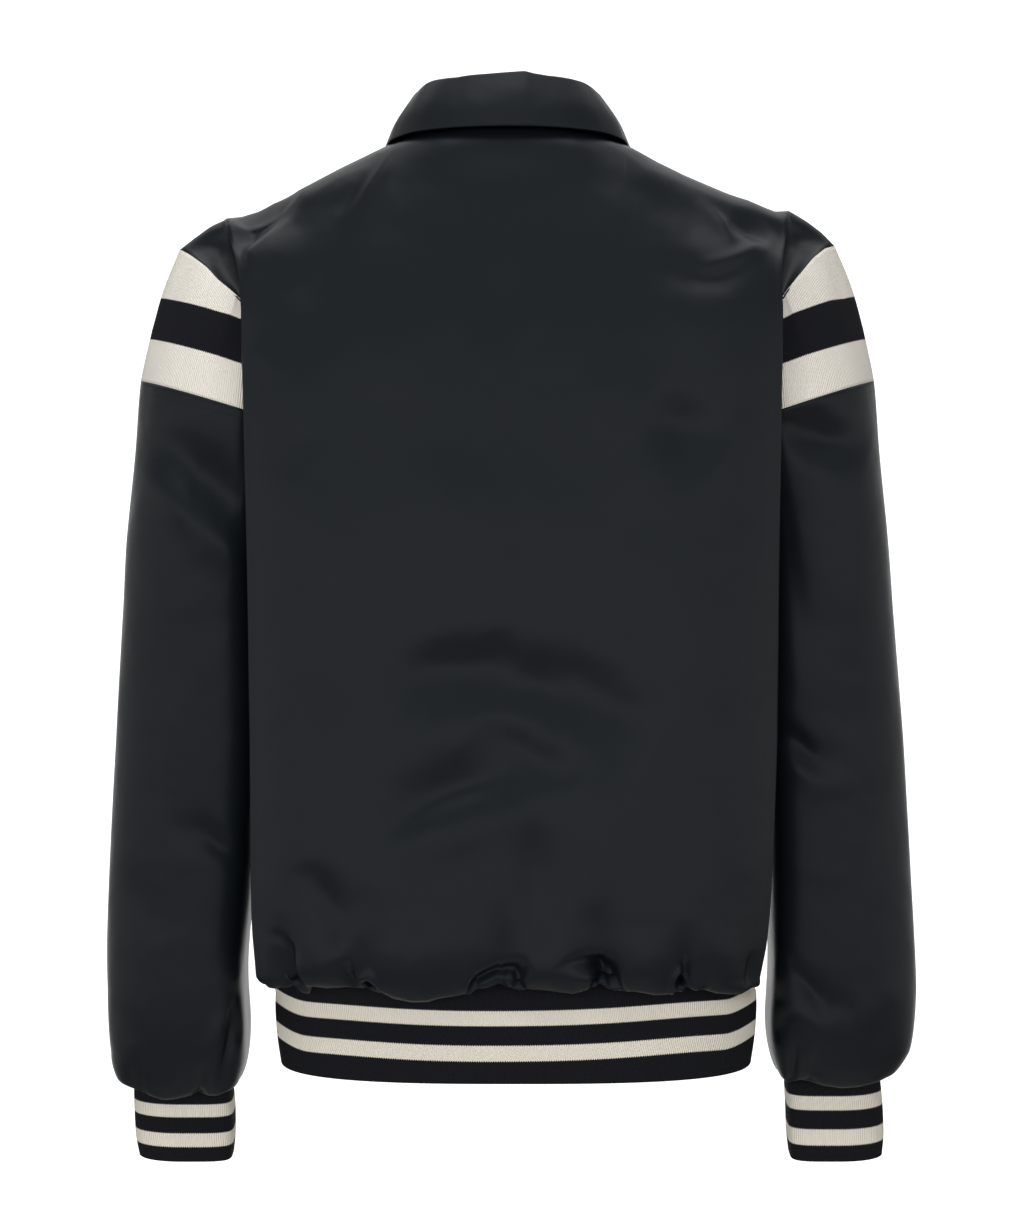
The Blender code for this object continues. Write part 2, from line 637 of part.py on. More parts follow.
def snap(name, centre, normal):
    """The cap of a snap: a low dome that rests on the cloth."""
    centre = swayed(centre)
    side = unit(np.cross(normal, (0.0, 0.0, 1.0)))
    up = np.cross(side, normal)
    points = []
    for wide, high in SNAP_PROFILE:
        for step in range(SNAP_SIDES):
            angle = 2 * math.pi * step / SNAP_SIDES
            spoke = side * math.cos(angle) + up * math.sin(angle)
            points.append(centre + spoke * SNAP_RADIUS * wide + normal * SNAP_HEIGHT * high)
    points.append(centre + normal * SNAP_HEIGHT)
    last = (len(SNAP_PROFILE) - 1) * SNAP_SIDES
    faces = [list(range(SNAP_SIDES))]
    for step in range(SNAP_SIDES):
        after = (step + 1) % SNAP_SIDES
        for base in range(0, last, SNAP_SIDES):
            low, high = base + step, base + after
            faces.append([high, low, low + SNAP_SIDES, high + SNAP_SIDES])
        faces.append([last + after, last + step, len(points) - 1])
    object_of(name, points, faces, SNAP_ENAMEL)


def sew_body(back, back_normals, front, front_normals, on_left):
    """Gives the walls of the back and one front a shared direction along the shoulder and side seams."""
    shoulder = 1 + len(SHOULDER_FRACTIONS) + len(TURN_FRACTIONS)
    own = slice(-shoulder, None) if on_left else slice(shoulder - 1, None, -1)
    edge = -1 if on_left else 0
    away = unit(front[-2, -shoulder:] - front[-1, -shoulder:])
    shared = mitre(back_normals[-1, own], front_normals[-1, -shoulder:], away)
    back_normals[-1, own], front_normals[-1, -shoulder:] = shared
    low = BODY_ROWS.index(UNDERARM) + 1
    away = unit(front[:low, -2] - front[:low, -1])
    shared = mitre(back_normals[:low, edge], front_normals[:low, -1], away)
    back_normals[:low, edge], front_normals[:low, -1] = shared


def sew_insert(insert, insert_normals, back_normals, front_normals):
    """Gives the walls of a striped insert and the body a shared direction along the armhole."""
    away = unit(insert[1] - insert[0])
    count = (insert.shape[1] + 1) // 2
    for column in range(insert.shape[1]):
        step = abs(column - count + 1)
        body = front_normals if column < count - 1 else back_normals
        shared = mitre(body[-1 - step, -1], insert_normals[0, column], away[column])
        body[-1 - step, -1], insert_normals[0, column] = shared


def build_shell():
    """The back, the fronts, the hem band, the striped inserts, the lower sleeves and the cuffs."""
    other = np.array([-1.0, 1.0, 1.0])
    back = back_grid()
    left = front_grid(OVERLAP_LIFT)
    right = front_grid(-OVERLAP_LIFT)
    sleeve = sleeve_grid()
    insert = insert_grid()
    cuff = cuff_grid(sleeve[-1])
    hem = hem_grid(back, left, mirrored(right))
    back_normals = normals_of(back, False, -1)
    left_normals = normals_of(left, False, 1)
    right_normals = normals_of(right, False, 1)
    sleeve_normals = normals_of(sleeve, True, -1)
    insert_normals = normals_of(insert, False, -1)
    cuff_normals = normals_of(cuff, True, -1)

    sew_body(back, back_normals, left, left_normals, True)
    sew_insert(insert, insert_normals, back_normals, left_normals)
    right_normals[1:, 1:] = left_normals[1:, 1:]
    back_normals[:, : back.shape[1] // 2] = (back_normals * other)[:, : back.shape[1] // 2 : -1]

    for grid in (left, right):
        for edge in ("first row", "last row", "last column"):
            ease(grid, edge)
    for edge in ("first row", "last row", "first column", "last column"):
        ease(back, edge)
    for grid in (sleeve, insert):
        ease(grid, "first row")
        ease(grid, "last row")

    wall("back_panel", back, back_normals, SATIN_THICK, SATIN)
    wall("left_front", left, left_normals, SATIN_THICK, SATIN)
    wall("right_front", mirrored(right), mirrored(right_normals), SATIN_THICK, SATIN)
    wall("hem_band", hem, normals_of(hem, False, -1), KNIT_THICK, BLACK_KNIT)
    for side, mirror in (("left", np.ones(3)), ("right", other)):
        wall(side + "_sleeve", sleeve * mirror, sleeve_normals * mirror, SATIN_THICK, SATIN, closed=True)
        wall(side + "_sleeve_insert", insert * mirror, insert_normals * mirror, KNIT_THICK, CREAM_KNIT)
        wall(side + "_cuff", cuff * mirror, cuff_normals * mirror, KNIT_THICK, BLACK_KNIT, closed=True)
    return left, left_normals, hem


def build_collar():
    collar = collar_grid()
    wall("collar", collar, normals_of(collar, False, 1), COLLAR_THICK, SATIN)


def build_snaps(front, normals, hem):
    """A row of snap caps down the centre front, the last on the hem band."""
    column = 1
    heights = front[:, column, 2]
    for number, z in enumerate(SNAP_HEIGHTS, start=1):
        centre = np.array([np.interp(z, heights[1:], front[1:, column, axis]) for axis in range(3)])
        normal = unit(np.array([np.interp(z, heights[1:], normals[1:, column, axis]) for axis in range(3)]))
        snap(f"snap_{number}", centre + normal * SEAM_GAP, normal)
    normal = np.array([0.0, -1.0, 0.0])
    z = hem[0, column, 2] - HEM_SNAP_DROP
    centre = np.array([np.interp(-z, -hem[:, column, 2], hem[:, column, axis]) for axis in range(3)])
    snap(f"snap_{len(SNAP_HEIGHTS) + 1}", centre + normal * 2 * SEAM_GAP, normal)


def main():
    for old in list(bpy.data.objects):
        bpy.data.objects.remove(old)
    front, normals, hem = build_shell()
    build_collar()
    build_snaps(front, normals, hem)


main()
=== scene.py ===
"""A satin varsity jacket seen from behind: fine cloth on the form of its CAD solids.

Metres, +Z up. +X is the wearer's left and the wearer faces -Y. The origin is the middle of the
neck opening. The levels, the armhole, the sleeve's rings and the sway are those of the CAD, the
collar's stations and the profiles are finer ones, and the tables of folds are in millimetres.
"""

import math
from collections import namedtuple

import bpy
import numpy as np
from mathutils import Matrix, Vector

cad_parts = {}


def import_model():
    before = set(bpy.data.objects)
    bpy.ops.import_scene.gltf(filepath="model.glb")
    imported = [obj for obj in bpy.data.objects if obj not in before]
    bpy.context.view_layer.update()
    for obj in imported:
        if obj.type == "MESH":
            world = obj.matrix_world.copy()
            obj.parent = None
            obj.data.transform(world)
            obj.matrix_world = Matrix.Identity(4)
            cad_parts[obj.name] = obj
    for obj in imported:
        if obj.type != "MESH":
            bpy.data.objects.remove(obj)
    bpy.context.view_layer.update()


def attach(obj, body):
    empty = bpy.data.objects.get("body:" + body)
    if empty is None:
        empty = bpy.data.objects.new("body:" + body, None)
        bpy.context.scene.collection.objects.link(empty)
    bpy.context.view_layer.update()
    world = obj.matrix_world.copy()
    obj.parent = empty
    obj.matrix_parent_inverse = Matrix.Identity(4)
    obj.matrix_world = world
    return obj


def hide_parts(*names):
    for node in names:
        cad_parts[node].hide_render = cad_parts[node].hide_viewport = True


# Cloth
SATIN_THICK = 0.0012
KNIT_THICK = 0.0020
COLLAR_THICK = 0.0018

# Neck and shoulders, and the shoulder seam's pucker over the fold edge
NECK_HALF_WIDTH = 0.088
NECK_BACK = 0.080
NECK_FRONT = 0.082
NECK_DROP = 0.078
SHOULDER_FOLD_X = 0.2135
SHOULDER_TIP = (0.2499, 0.0, -0.0765)
NECK_SIDE_Z = 0.0025
SHOULDER_PUCKER = 0.0105
SHOULDER_PUCKER_X = 0.222
SHOULDER_PUCKER_WIDTH = 0.030
SHOULDER_PUCKER_END = 0.008
NECK_DIP_POWER = 1.4
# Shares of the way to the fold edge between which the cloth comes to run on level over its seam
SHOULDER_EASED = (0.24, 0.40)
# Share of the neck's half width from which the rounding below the seam leans to the middle
NECK_SIDE_SHARE = 0.68
# How strongly the cloth keeps on its way past the fold edge before it turns
TURN_PULL = 0.2

# Closing at the centre front: how far the fronts lap, how far each is moved out of the other's way
# there, the distance from the middle where that ends, the lap's columns, and how far the right
# front's blouse stays above its seam under the lap
OVERLAP = 0.015
OVERLAP_LIFT = 0.0016
OVERLAP_FADE = 0.045
LAP_COLUMNS = 6
LAP_CLEARANCE = 0.0008
SNAP_RADIUS = 0.0075
SNAP_HEIGHT = 0.0030
SNAP_SIDES = 40
# Radius and height of each ring of a snap's cap, against the cap's own
SNAP_PROFILE = (
    (1.0, 0.0), (1.0, 0.25), (0.97, 0.42), (0.90, 0.50),
    (0.82, 0.46), (0.76, 0.56), (0.55, 0.84), (0.3, 0.96),
)
SNAP_HEIGHTS = (-0.135, -0.225, -0.315, -0.405, -0.495, -0.575)
SNAP_GAP = 0.0002
# From this row on, the front's rows rise one above another
SNAP_FIRST_ROW = 30
HEM_SNAP_DROP = 0.036

# Striped insert: its lower seam at the sleeve's outer side, the seam's slope, the places of the
# armhole that it ends at, on either side of the shoulder, the least that it is long there, and the
# rounds that find the seam
INSERT_OUTER_X = 0.2795
INSERT_OUTER_Z = -0.177
INSERT_SLOPE = 0.32
INSERT_END = 5
INSERT_LEAST = 0.001
INSERT_ROUNDS = 6

# Hem band and cuffs. Their profiles hold the share of the height, then the bulge, or the width and
# depth against the seam's. The band eases from the seam's outline to a smooth one, of a rounded
# rectangle's power, over a share of its height.
HEM_HEIGHT = 0.080
HEM_BULGE = 0.006
HEM_POWER = 2.9
HEM_EASED = 0.15
HEM_PROFILE = ((0.0, 0.0), (0.2, 0.75), (0.4, 1.0), (0.6, 0.95), (0.8, 0.7), (1.0, 0.3))
CUFF_HEIGHT = 0.066
CUFF_PROFILE = (
    (0.00, 1.000, 1.000),
    (0.20, 1.035, 1.085),
    (0.40, 1.050, 1.125),
    (0.60, 1.053, 1.140),
    (0.80, 1.045, 1.130),
    (1.00, 1.000, 1.060),
)

Level = namedtuple("Level", "name z_centre z_fold centre_y fold_x fold_y flat side_x")
BACK_LEVELS = (
    Level("hem seam", -0.6170, -0.6130, 0.112, 0.1520, 0.080, 2.6, 0.1765),
    Level("overhang", -0.6295, -0.6275, 0.128, 0.1795, 0.088, 3.6, 0.1850),
    Level("blouse", -0.6060, -0.6080, 0.140, 0.1860, 0.094, 4.5, 0.1872),
    Level("loin", -0.5600, -0.5600, 0.142, 0.1900, 0.097, 5.0, 0.1810),
    Level("waist", -0.4550, -0.4550, 0.139, 0.1925, 0.098, 6.0, 0.1760),
    Level("chest", -0.3450, -0.3450, 0.135, 0.1940, 0.098, 6.0, 0.1740),
    Level("underarm", -0.2850, -0.2850, 0.132, 0.1950, 0.098, 6.0, 0.1740),
    Level("scye", -0.2350, -0.2350, 0.128, 0.1960, 0.098, 6.0, None),
    Level("insert end", -0.1850, -0.1850, 0.124, 0.1970, 0.097, 5.5, None),
    Level("blade", -0.1450, -0.1500, 0.119, 0.1980, 0.096, 5.0, None),
    Level("yoke", -0.1100, -0.1236, 0.112, 0.1985, 0.093, 4.5, None),
    Level("slope", -0.0750, -0.0950, 0.104, 0.2005, 0.080, 3.5, None),
    Level("crest", -0.0380, -0.0720, 0.094, 0.2070, 0.047, 2.6, None),
)
FRONT_LEVELS = (
    Level("hem seam", -0.6050, -0.6080, -0.103, 0.1520, -0.068, 2.4, 0.1765),
    Level("overhang", -0.6175, -0.6205, -0.118, 0.1700, -0.075, 2.6, 0.1835),
    Level("blouse", -0.5960, -0.5990, -0.129, 0.1760, -0.080, 2.6, 0.1870),
    Level("loin", -0.5550, -0.5570, -0.131, 0.1740, -0.080, 2.6, 0.1810),
    Level("waist", -0.4550, -0.4550, -0.126, 0.1680, -0.078, 2.5, 0.1760),
    Level("chest", -0.3450, -0.3450, -0.117, 0.1650, -0.076, 2.5, 0.1740),
    Level("underarm", -0.2900, -0.2900, -0.113, 0.1650, -0.076, 2.5, 0.1740),
    Level("scye", -0.2450, -0.2450, -0.110, 0.1720, -0.076, 2.5, None),
    Level("insert end", -0.2080, -0.2050, -0.107, 0.1750, -0.076, 2.5, None),
    Level("blade", -0.1780, -0.1700, -0.104, 0.1800, -0.075, 2.4, None),
    Level("yoke", -0.1500, -0.1350, -0.101, 0.1860, -0.070, 2.3, None),
    Level("slope", -0.1240, -0.1030, -0.096, 0.1940, -0.056, 2.2, None),
    Level("crest", -0.1000, -0.0760, -0.090, 0.2040, -0.030, 2.0, None),
)
UNDERARM = 6
TOP = len(BACK_LEVELS)
# Where the rounding between the last level and the top lies, as shares of the way in x, y and z
ROUNDING = (0.5, 0.29, 0.71)

Scye = namedtuple("Scye", "name x y z angle")
ARMHOLE = (
    Scye("tip", *SHOULDER_TIP, 0),
    Scye("back crest", 0.2365, 0.030, -0.0855, 28),
    Scye("back slope", 0.2205, 0.055, -0.0990, 55),
    Scye("back yoke", 0.1985, 0.082, -0.1236, 100),
    Scye("back blade", 0.1925, 0.081, -0.1650, 118),
    Scye("back insert end", 0.1880, 0.072, -0.2036, 135),
    Scye("back scye", 0.1835, 0.045, -0.2620, 158),
    Scye("underarm", 0.1740, 0.000, -0.3000, 180),
    Scye("front scye", 0.1825, -0.042, -0.2620, 202),
    Scye("front insert end", 0.1870, -0.066, -0.2036, 225),
    Scye("front blade", 0.1915, -0.073, -0.1650, 242),
    Scye("front yoke", 0.1985, -0.072, -0.1280, 260),
    Scye("front slope", 0.2180, -0.054, -0.1020, 305),
    Scye("front crest", 0.2355, -0.030, -0.0865, 332),
)
ARM_TURN = len(ARMHOLE)
ARM_LOW = 7

Ring = namedtuple("Ring", "z inner outer middle half_depth dip")
SLEEVE_RINGS = (
    Ring(-0.0750, 0.1960, 0.2495, 0.000, 0.0740, 0.00),
    Ring(-0.1070, 0.1920, 0.2625, 0.000, 0.0780, 0.00),
    Ring(-0.1375, 0.1900, 0.2712, 0.000, 0.0790, 0.00),
    Ring(-0.1770, 0.1880, 0.2795, 0.000, 0.0770, 0.00),
    Ring(-0.2350, 0.1890, 0.2838, 0.000, 0.0730, 0.00),
    Ring(-0.3000, 0.1910, 0.2900, -0.001, 0.0690, 0.00),
    Ring(-0.3600, 0.1920, 0.2940, -0.003, 0.0660, 0.00),
    Ring(-0.4500, 0.1925, 0.3005, -0.007, 0.0630, 0.00),
    Ring(-0.5400, 0.1965, 0.3060, -0.012, 0.0610, 0.02),
    Ring(-0.6200, 0.2010, 0.3100, -0.018, 0.0590, 0.05),
    Ring(-0.6720, 0.1995, 0.3095, -0.024, 0.0570, 0.09),
    Ring(-0.7000, 0.2020, 0.3055, -0.028, 0.0500, 0.12),
    Ring(-0.7150, 0.2085, 0.2965, -0.030, 0.0380, 0.12),
    Ring(-0.7040, 0.2145, 0.2865, -0.031, 0.0245, 0.12),
)
# The ring below which the sleeve no longer follows the armhole, and the powers of the rings'
# outline on their outer side and on the side of the body
MERGE = 6
RING_POWER = 2.2
RING_INNER_POWER = 4.6

Station = namedtuple("Station", "angle rise lean out drop spread")
COLLAR_STATIONS = (
    Station(0, 0.0450, 0.0090, 0.0125, -0.0044, 0.000),
    Station(25, 0.0440, 0.0100, 0.0120, -0.0032, 0.000),
    Station(45, 0.0415, 0.0115, 0.0098, -0.0020, 0.000),
    Station(62, 0.0360, 0.0140, 0.0066, -0.0004, 0.000),
    Station(90, 0.0300, 0.0165, 0.0036, 0.0000, 0.000),
    Station(112, 0.0300, 0.0140, 0.0120, -0.0112, 0.002),
    Station(135, 0.0300, 0.0100, 0.0195, -0.0112, 0.006),
    Station(177, 0.0300, 0.0040, 0.0190, 0.0340, 0.028),
)
# How the collar's top differs from the form across the back, in millimetres across and up
COLLAR_TOP = (
    (-65, 0.0), (-52, -0.8), (-30, -0.9), (-20, 0.2), (-13, 1.8), (0, 0.8), (14, -0.2), (28, -0.8),
    (37, -1.4), (48, -0.6), (60, 0.6), (72, 0.0),
)
COLLAR_TOP_FADE = 0.035
FOLD_RADIUS = 0.0030
FALL_BULGE = 0.0020
COLLAR_SINK = 0.0040
COLLAR_GAP = 0.0006
# How far the back's neck edge rises behind the collar, fading out towards the neck's sides
NECK_RISE = 0.0052
NECK_RISE_FADE = 0.055
NECK_RISE_ROWS = (TOP - 0.9, TOP)
# The cloth beside the neck is evened out between these distances from the middle and these rows
NECK_EASED = (0.045, 0.068, 0.104, 0.130)
NECK_EASED_ROWS = (TOP - 1.6, TOP - 1.1, TOP - 0.25, TOP)
NECK_EASED_ROUNDS = 120

# How far the garment has settled sideways, by height: its body up to the first place across, and
# the sleeves at the second and the third
Sway = namedtuple("Sway", "z body inner outer")
SWAYS = (
    Sway(-0.775, 0.0000, 0.0005, 0.0008),
    Sway(-0.735, -0.0020, 0.0010, 0.0030),
    Sway(-0.712, -0.0030, 0.0025, 0.0045),
    Sway(-0.690, -0.0030, 0.0030, 0.0005),
    Sway(-0.640, -0.0030, 0.0035, 0.0000),
    Sway(-0.622, 0.0030, 0.0032, 0.0005),
    Sway(-0.600, 0.0015, 0.0025, 0.0010),
    Sway(-0.560, 0.0005, 0.0008, 0.0015),
    Sway(-0.450, -0.0015, -0.0007, 0.0020),
    Sway(-0.300, -0.0015, -0.0005, 0.0045),
    Sway(-0.130, -0.0010, 0.0000, 0.0050),
    Sway(-0.060, 0.0025, 0.0030, 0.0050),
    Sway(0.050, 0.0038, 0.0040, 0.0050),
)
SWAY_PLACES = (0.187, 0.199, 0.310)

# How finely the cloth is drawn: steps between one level of the body and the next, columns to the
# neck's side, with two more close to it, on to the fold edge and round it, the sleeve's rows, and
# its columns to each place of the armhole
ROW_STEPS = (10, 16, 22, 26, 26, 13, 12, 11, 10, 9, 9, 9, 17)
NECK_COLUMNS = 50
NECK_SIDE_COLUMNS = (0.988, 0.997)
SHOULDER_COLUMNS = 60
TURN_COLUMNS = 12
UPPER_SLEEVE_ROWS = 56
RING_STEPS = (22, 22, 22, 20, 14, 14, 12)
SLEEVE_COLUMNS = 12
INSERT_ROWS = 40
HEM_ROWS = 40
CUFF_ROWS = 36
COLLAR_COLUMNS = 220
COLLAR_STEPS = 10

# Stitches: their pitch, length, width and height above the cloth, the size of the thread at places
# along each and its corners, then how far a row lies from its seam or edge and the columns that it
# leaves free at either end
STITCH_PITCH = 0.0034
STITCH_LENGTH = 0.0025
STITCH_WIDTH = 0.0006
STITCH_HEIGHT = 0.0003
STITCH_PROFILE = ((-0.5, 0.2), (-0.35, 0.9), (0.0, 1.0), (0.35, 0.9), (0.5, 0.2))
STITCH_SECTION = ((-1.0, 0.0), (0.0, 1.0), (1.0, 0.0), (0.0, -1.0))
INSERT_STITCH_DROP = 0.007
INSERT_STITCH_MARGIN = 3
COLLAR_STITCH_RISE = 0.006
COLLAR_STITCH_MARGIN = 2

# Cuts: width and length of what shows of each sheet, its area, how it is held and what it hangs from
Cut = namedtuple("Cut", "flat area held rests_on")
CUFF_CUT = Cut((0.215, 0.068), 0.0146, "stretched", ())

# Folds, in millimetres: a bow from one end to the other, how far its middle bows to the left of
# that way as seen from outside, its half width and depth, and how much of the width is on the
# left side, 1 for an even fold. A positive depth stands out.
Fold = namedtuple("Fold", "x0 z0 x1 z1 bow width depth left", defaults=(1,))
FOLD_TAPER = 1.2
# Folds fade out at a body panel's lowest and highest rows and at a sleeve's ends. A sleeve's face
# has its full folds where the cloth faces that way by SLEEVE_FACE.
FOLD_ROWS = (0, 0.5, TOP - 0.4, TOP)
SLEEVE_FADE_ROWS = (4, 8)
SLEEVE_FACE = 0.5
BACK_FOLDS = (
    # middle of the back
    Fold(96, -410, -6, -386, 4, 30, -8.4, 0.62),
    Fold(28, -374, -38, -436, 5, 30, -6.4, 0.6),
    Fold(-8, -386, -102, -450, 5, 32, -8.8, 0.64),
    Fold(66, -418, -70, -454, 7, 15, 1.6),
    Fold(28, -432, -46, -480, 0, 24, -6.4, 0.6),
    Fold(98, -516, -8, -468, 9, 12, -9, 1.8),
    Fold(66, -528, -28, -494, 6, 15, 2),
    Fold(-18, -484, -22, -614, -2, 15, -7),
    Fold(-58, -466, -60, -580, 3, 20, 2.6),
    Fold(156, -534, 126, -602, 10, 12, -6),
    Fold(112, -520, 88, -590, 6, 17, 2.6),
    # soft waves of the upper and middle back
    Fold(32, -118, -14, -134, 3, 26, -3.4, 0.8),
    Fold(-92, -206, -152, -240, 5, 26, -8, 0.8),
    Fold(-70, -165, -90, -290, 6, 26, 2.6),
    Fold(100, -40, 176, -172, -6, 28, -8, 0.9),
    Fold(160, -230, 120, -360, -6, 26, 2.8),
    Fold(60, -230, 20, -345, 6, 28, 2.6),
    Fold(-120, -310, -150, -440, 5, 24, 2.8),
    Fold(-100, -440, -140, -570, 5, 26, -2.8),
    Fold(150, -400, 120, -505, 4, 22, -2.8),
    # under the ends of the collar
    Fold(44, 6, 106, -14, 0, 7, 2.4),
    Fold(-44, 6, -106, -14, 0, 7, 2.4),
    # left shoulder
    Fold(76, 2, 122, -66, 2.2, 6, 3),
    Fold(96, -10, 141, -66, 2.2, 9.4, -3.4),
    Fold(156, -34, 226, -80, 0, 14, -13),
    Fold(160, -62, 226, -112, 1, 12, 7),
    Fold(124, -62, 196, -130, 6, 18, -2.4),
    # right shoulder
    Fold(-196, -79, -132, -102, 2.2, 6, 4),
    Fold(-103, -92, -180, -96, -11.5, 12, -3.9),
    Fold(-140, -44, -166, -86, 2.9, 5, 3.2),
    Fold(-163, -60, -194, -79, 0, 7, -4.6),
    Fold(-90, -106, -172, -135, -14.5, 20, 2.2),
    Fold(-98, -30, -151, -91, 7.2, 15, -4.4),
    # gathers over the hem
    Fold(168, -570, 156, -660, 0, 10, -3.4),
    Fold(113, -585, 102, -660, 0, 9, -3),
    Fold(8, -560, 3, -660, 2, 12, -3.4),
    Fold(-62, -560, -67, -660, 2, 11, -3.4),
    Fold(-125, -575, -130, -660, 0, 10, -3.4),
    Fold(136, -585, 132, -665, 0, 13, 3),
    Fold(76, -565, 68, -670, 0, 19, 5),
    Fold(-28, -580, -34, -665, 0, 14, 3.4),
    Fold(-95, -580, -101, -665, 0, 15, 4),
    Fold(-156, -580, -160, -665, 0, 13, 3.2),
    # puckers of the gathers
    Fold(174, -584, 158, -610, 2, 4, -4),
    Fold(168, -594, 150, -660, -1, 5.6, -14),
    Fold(158, -596, 143, -640, -1, 4.6, 3.4),
    Fold(121, -604, 99, -658, 5, 7, -12),
    Fold(121, -612, 93, -636, 10, 3, 4.4),
    Fold(39, -637, -18, -611, 6, 5.6, -12),
    Fold(26, -632, -6, -617, 4, 4, 4.6),
    Fold(-8, -600, -8, -658, 0, 4.4, -10),
    Fold(5, -618, 4, -650, 0, 2.8, -8),
    Fold(-37, -604, -82, -652, 19, 8, -14, 0.9),
    Fold(-50, -598, -60, -650, 2, 9, 4.6),
    Fold(-66, -600, -65, -658, 1, 4.6, -10),
    Fold(-113, -636, -145, -632, 20, 3, 4.2),
    Fold(-132, -600, -127, -664, 0, 5.8, -14),
    Fold(-178, -600, -176, -628, 0, 3, -4),
)
# Lower edge of the bloused back: the places across and the heights that it passes through
BACK_EDGE = (
    (-177, -629.3), (-167, -633.4), (-150, -631.6), (-136, -626.5), (-126, -623.0), (-118, -630.6),
    (-105, -631.1), (-85, -627.5), (-72, -624.9), (-65, -619.6), (-57, -626.7), (-45, -629.6),
    (-29, -627.5), (-9, -626.0), (1, -624.6), (4, -621.0), (16, -625.3), (26, -626.0), (31, -629.6),
    (55, -633.3), (62, -635.4), (74, -635.8), (87, -633.3), (93, -629.6), (101, -623.8),
    (133, -627.0), (152, -625.8), (157, -621.5), (173, -629.8),
)
EDGE_REACH = 0.013
EDGE_BEYOND = 0.004

LEFT_FRONT_FOLDS = (
    Fold(40, -120, 95, -190, 3, 12, -2.4),
    Fold(20, -300, 110, -330, 6, 14, -2.2),
    Fold(150, -430, 60, -480, 6, 12, -3),
    Fold(30, -470, 110, -520, -6, 11, -2.6),
    Fold(120, -380, 160, -470, 4, 14, 2),
    Fold(150, -540, 130, -640, 3, 9, -3),
    Fold(95, -560, 92, -645, 2, 8, -3),
    Fold(93, -596, 91, -645, 0, 3.4, -6),
    Fold(58, -580, 55, -645, 0, 3.2, -5),
    Fold(75, -575, 73, -645, 0, 12, 2.4),
    Fold(140, -598, 137, -645, 0, 3.6, -6),
    Fold(115, -585, 113, -645, 0, 12, 2.4),
    Fold(140, -60, 190, -100, 2, 8, -4),
)
RIGHT_FRONT_FOLDS = (
    Fold(-45, -125, -100, -200, -3, 12, -2.4),
    Fold(-25, -340, -120, -355, -6, 14, -2.4),
    Fold(-150, -410, -70, -470, -6, 12, -3),
    Fold(-40, -480, -110, -540, 6, 11, -2.6),
    Fold(-140, -540, -128, -640, -3, 9, -3),
    Fold(-85, -570, -82, -645, -2, 8, -3),
    Fold(-84, -600, -82, -645, 0, 3.4, -6),
    Fold(-48, -585, -46, -645, 0, 3.2, -5),
    Fold(-66, -575, -64, -645, 0, 12, 2.4),
    Fold(-130, -600, -128, -645, 0, 3.6, -6),
    Fold(-108, -585, -106, -645, 0, 12, 2.4),
    Fold(-140, -62, -190, -102, -2, 8, -4),
    # under the left front's lap
    Fold(-1, -590, -1, -645, 0, 8, -4.8, 2.5),
)
FRONT_EDGE = (
    (-172, -620.0), (-150, -622.0), (-136, -621.0), (-129, -614.5), (-120, -621.0), (-106, -624.0),
    (-90, -621.0), (-83, -614.5), (-76, -620.0), (-64, -623.0), (-52, -620.0), (-46, -615.0),
    (-38, -619.0), (-15, -618.0), (40, -618.0), (50, -620.0), (56, -614.0), (62, -620.0),
    (73, -623.0), (86, -620.0), (92, -614.0), (100, -621.0), (113, -624.0), (130, -620.0),
    (138, -614.5), (146, -621.0), (172, -620.0),
)
# The right front's edge lies higher where the left front laps over it
UNDER_LAP_EDGE = ((-15, -618.0), (-11, -614.6), (18, -614.6))

# Above these rows the folds of the back end at its fold edge, fading out over EDGE_KEPT before it
EDGE_KEPT = 0.014
EDGE_KEPT_ROWS = (9.0, 8.5)
# Ridge of the cloth along a fold edge
EDGE_RIDGE = 0.0010
EDGE_RIDGE_WIDTH = 0.0028
EDGE_RIDGE_ROWS = (1.2, 2.0)
# Hollow beyond the fold edge at the shoulder: how deep it dips, how soon its deepest place comes,
# and the powers by which the cloth runs outwards and forwards there
WEDGE_DIP = 0.0034
WEDGE_DIP_POWER = 0.65
WEDGE_ACROSS = 1.35
WEDGE_DOWN = 3.5
WEDGE_ROWS = (8.7, 9.6, 12.2, 12.9)

# Folds of the sleeves, seen from behind and from the front, and their bloused lower edge: places
# across and how far it lies above or below the form.
SLEEVE_FOLDS = {
    "left": (
        Fold(268, -212, 192, -296, 2, 18, -11),
        Fold(275, -240, 196, -334, 4, 13, 5),
        Fold(285, -300, 262, -430, 3, 16, -1.8),
        Fold(244, -500, 196, -542, -4, 9, -5),
        Fold(300, -540, 255, -600, -5, 14, -2),
        Fold(203, -636, 220, -712, 3, 4.5, -6),
        Fold(215, -650, 234, -700, 3, 7, 2),
        Fold(300, -640, 270, -700, -4, 10, -2),
        Fold(236, -690, 235, -735, 0, 4, -4),
        Fold(285, -680, 277, -735, 0, 6, -2.4),
    ),
    "right": (
        Fold(-192, -206, -272, -232, -4, 15, -10),
        Fold(-200, -236, -226, -400, -6, 16, -5),
        Fold(-262, -240, -268, -400, -3, 18, 2),
        Fold(-188, -436, -238, -480, 5, 9, -6.5),
        Fold(-196, -462, -240, -492, 5, 9, 2.4),
        Fold(-300, -470, -262, -560, 4, 15, -2),
        Fold(-195, -608, -256, -680, 7, 6.5, -6),
        Fold(-200, -640, -240, -690, 6, 8, 2.4),
        Fold(-216, -680, -214, -735, 0, 4, -4),
        Fold(-232, -682, -229, -735, 0, 5, -3),
        Fold(-286, -640, -268, -705, 3, 9, -2.2),
    ),
}
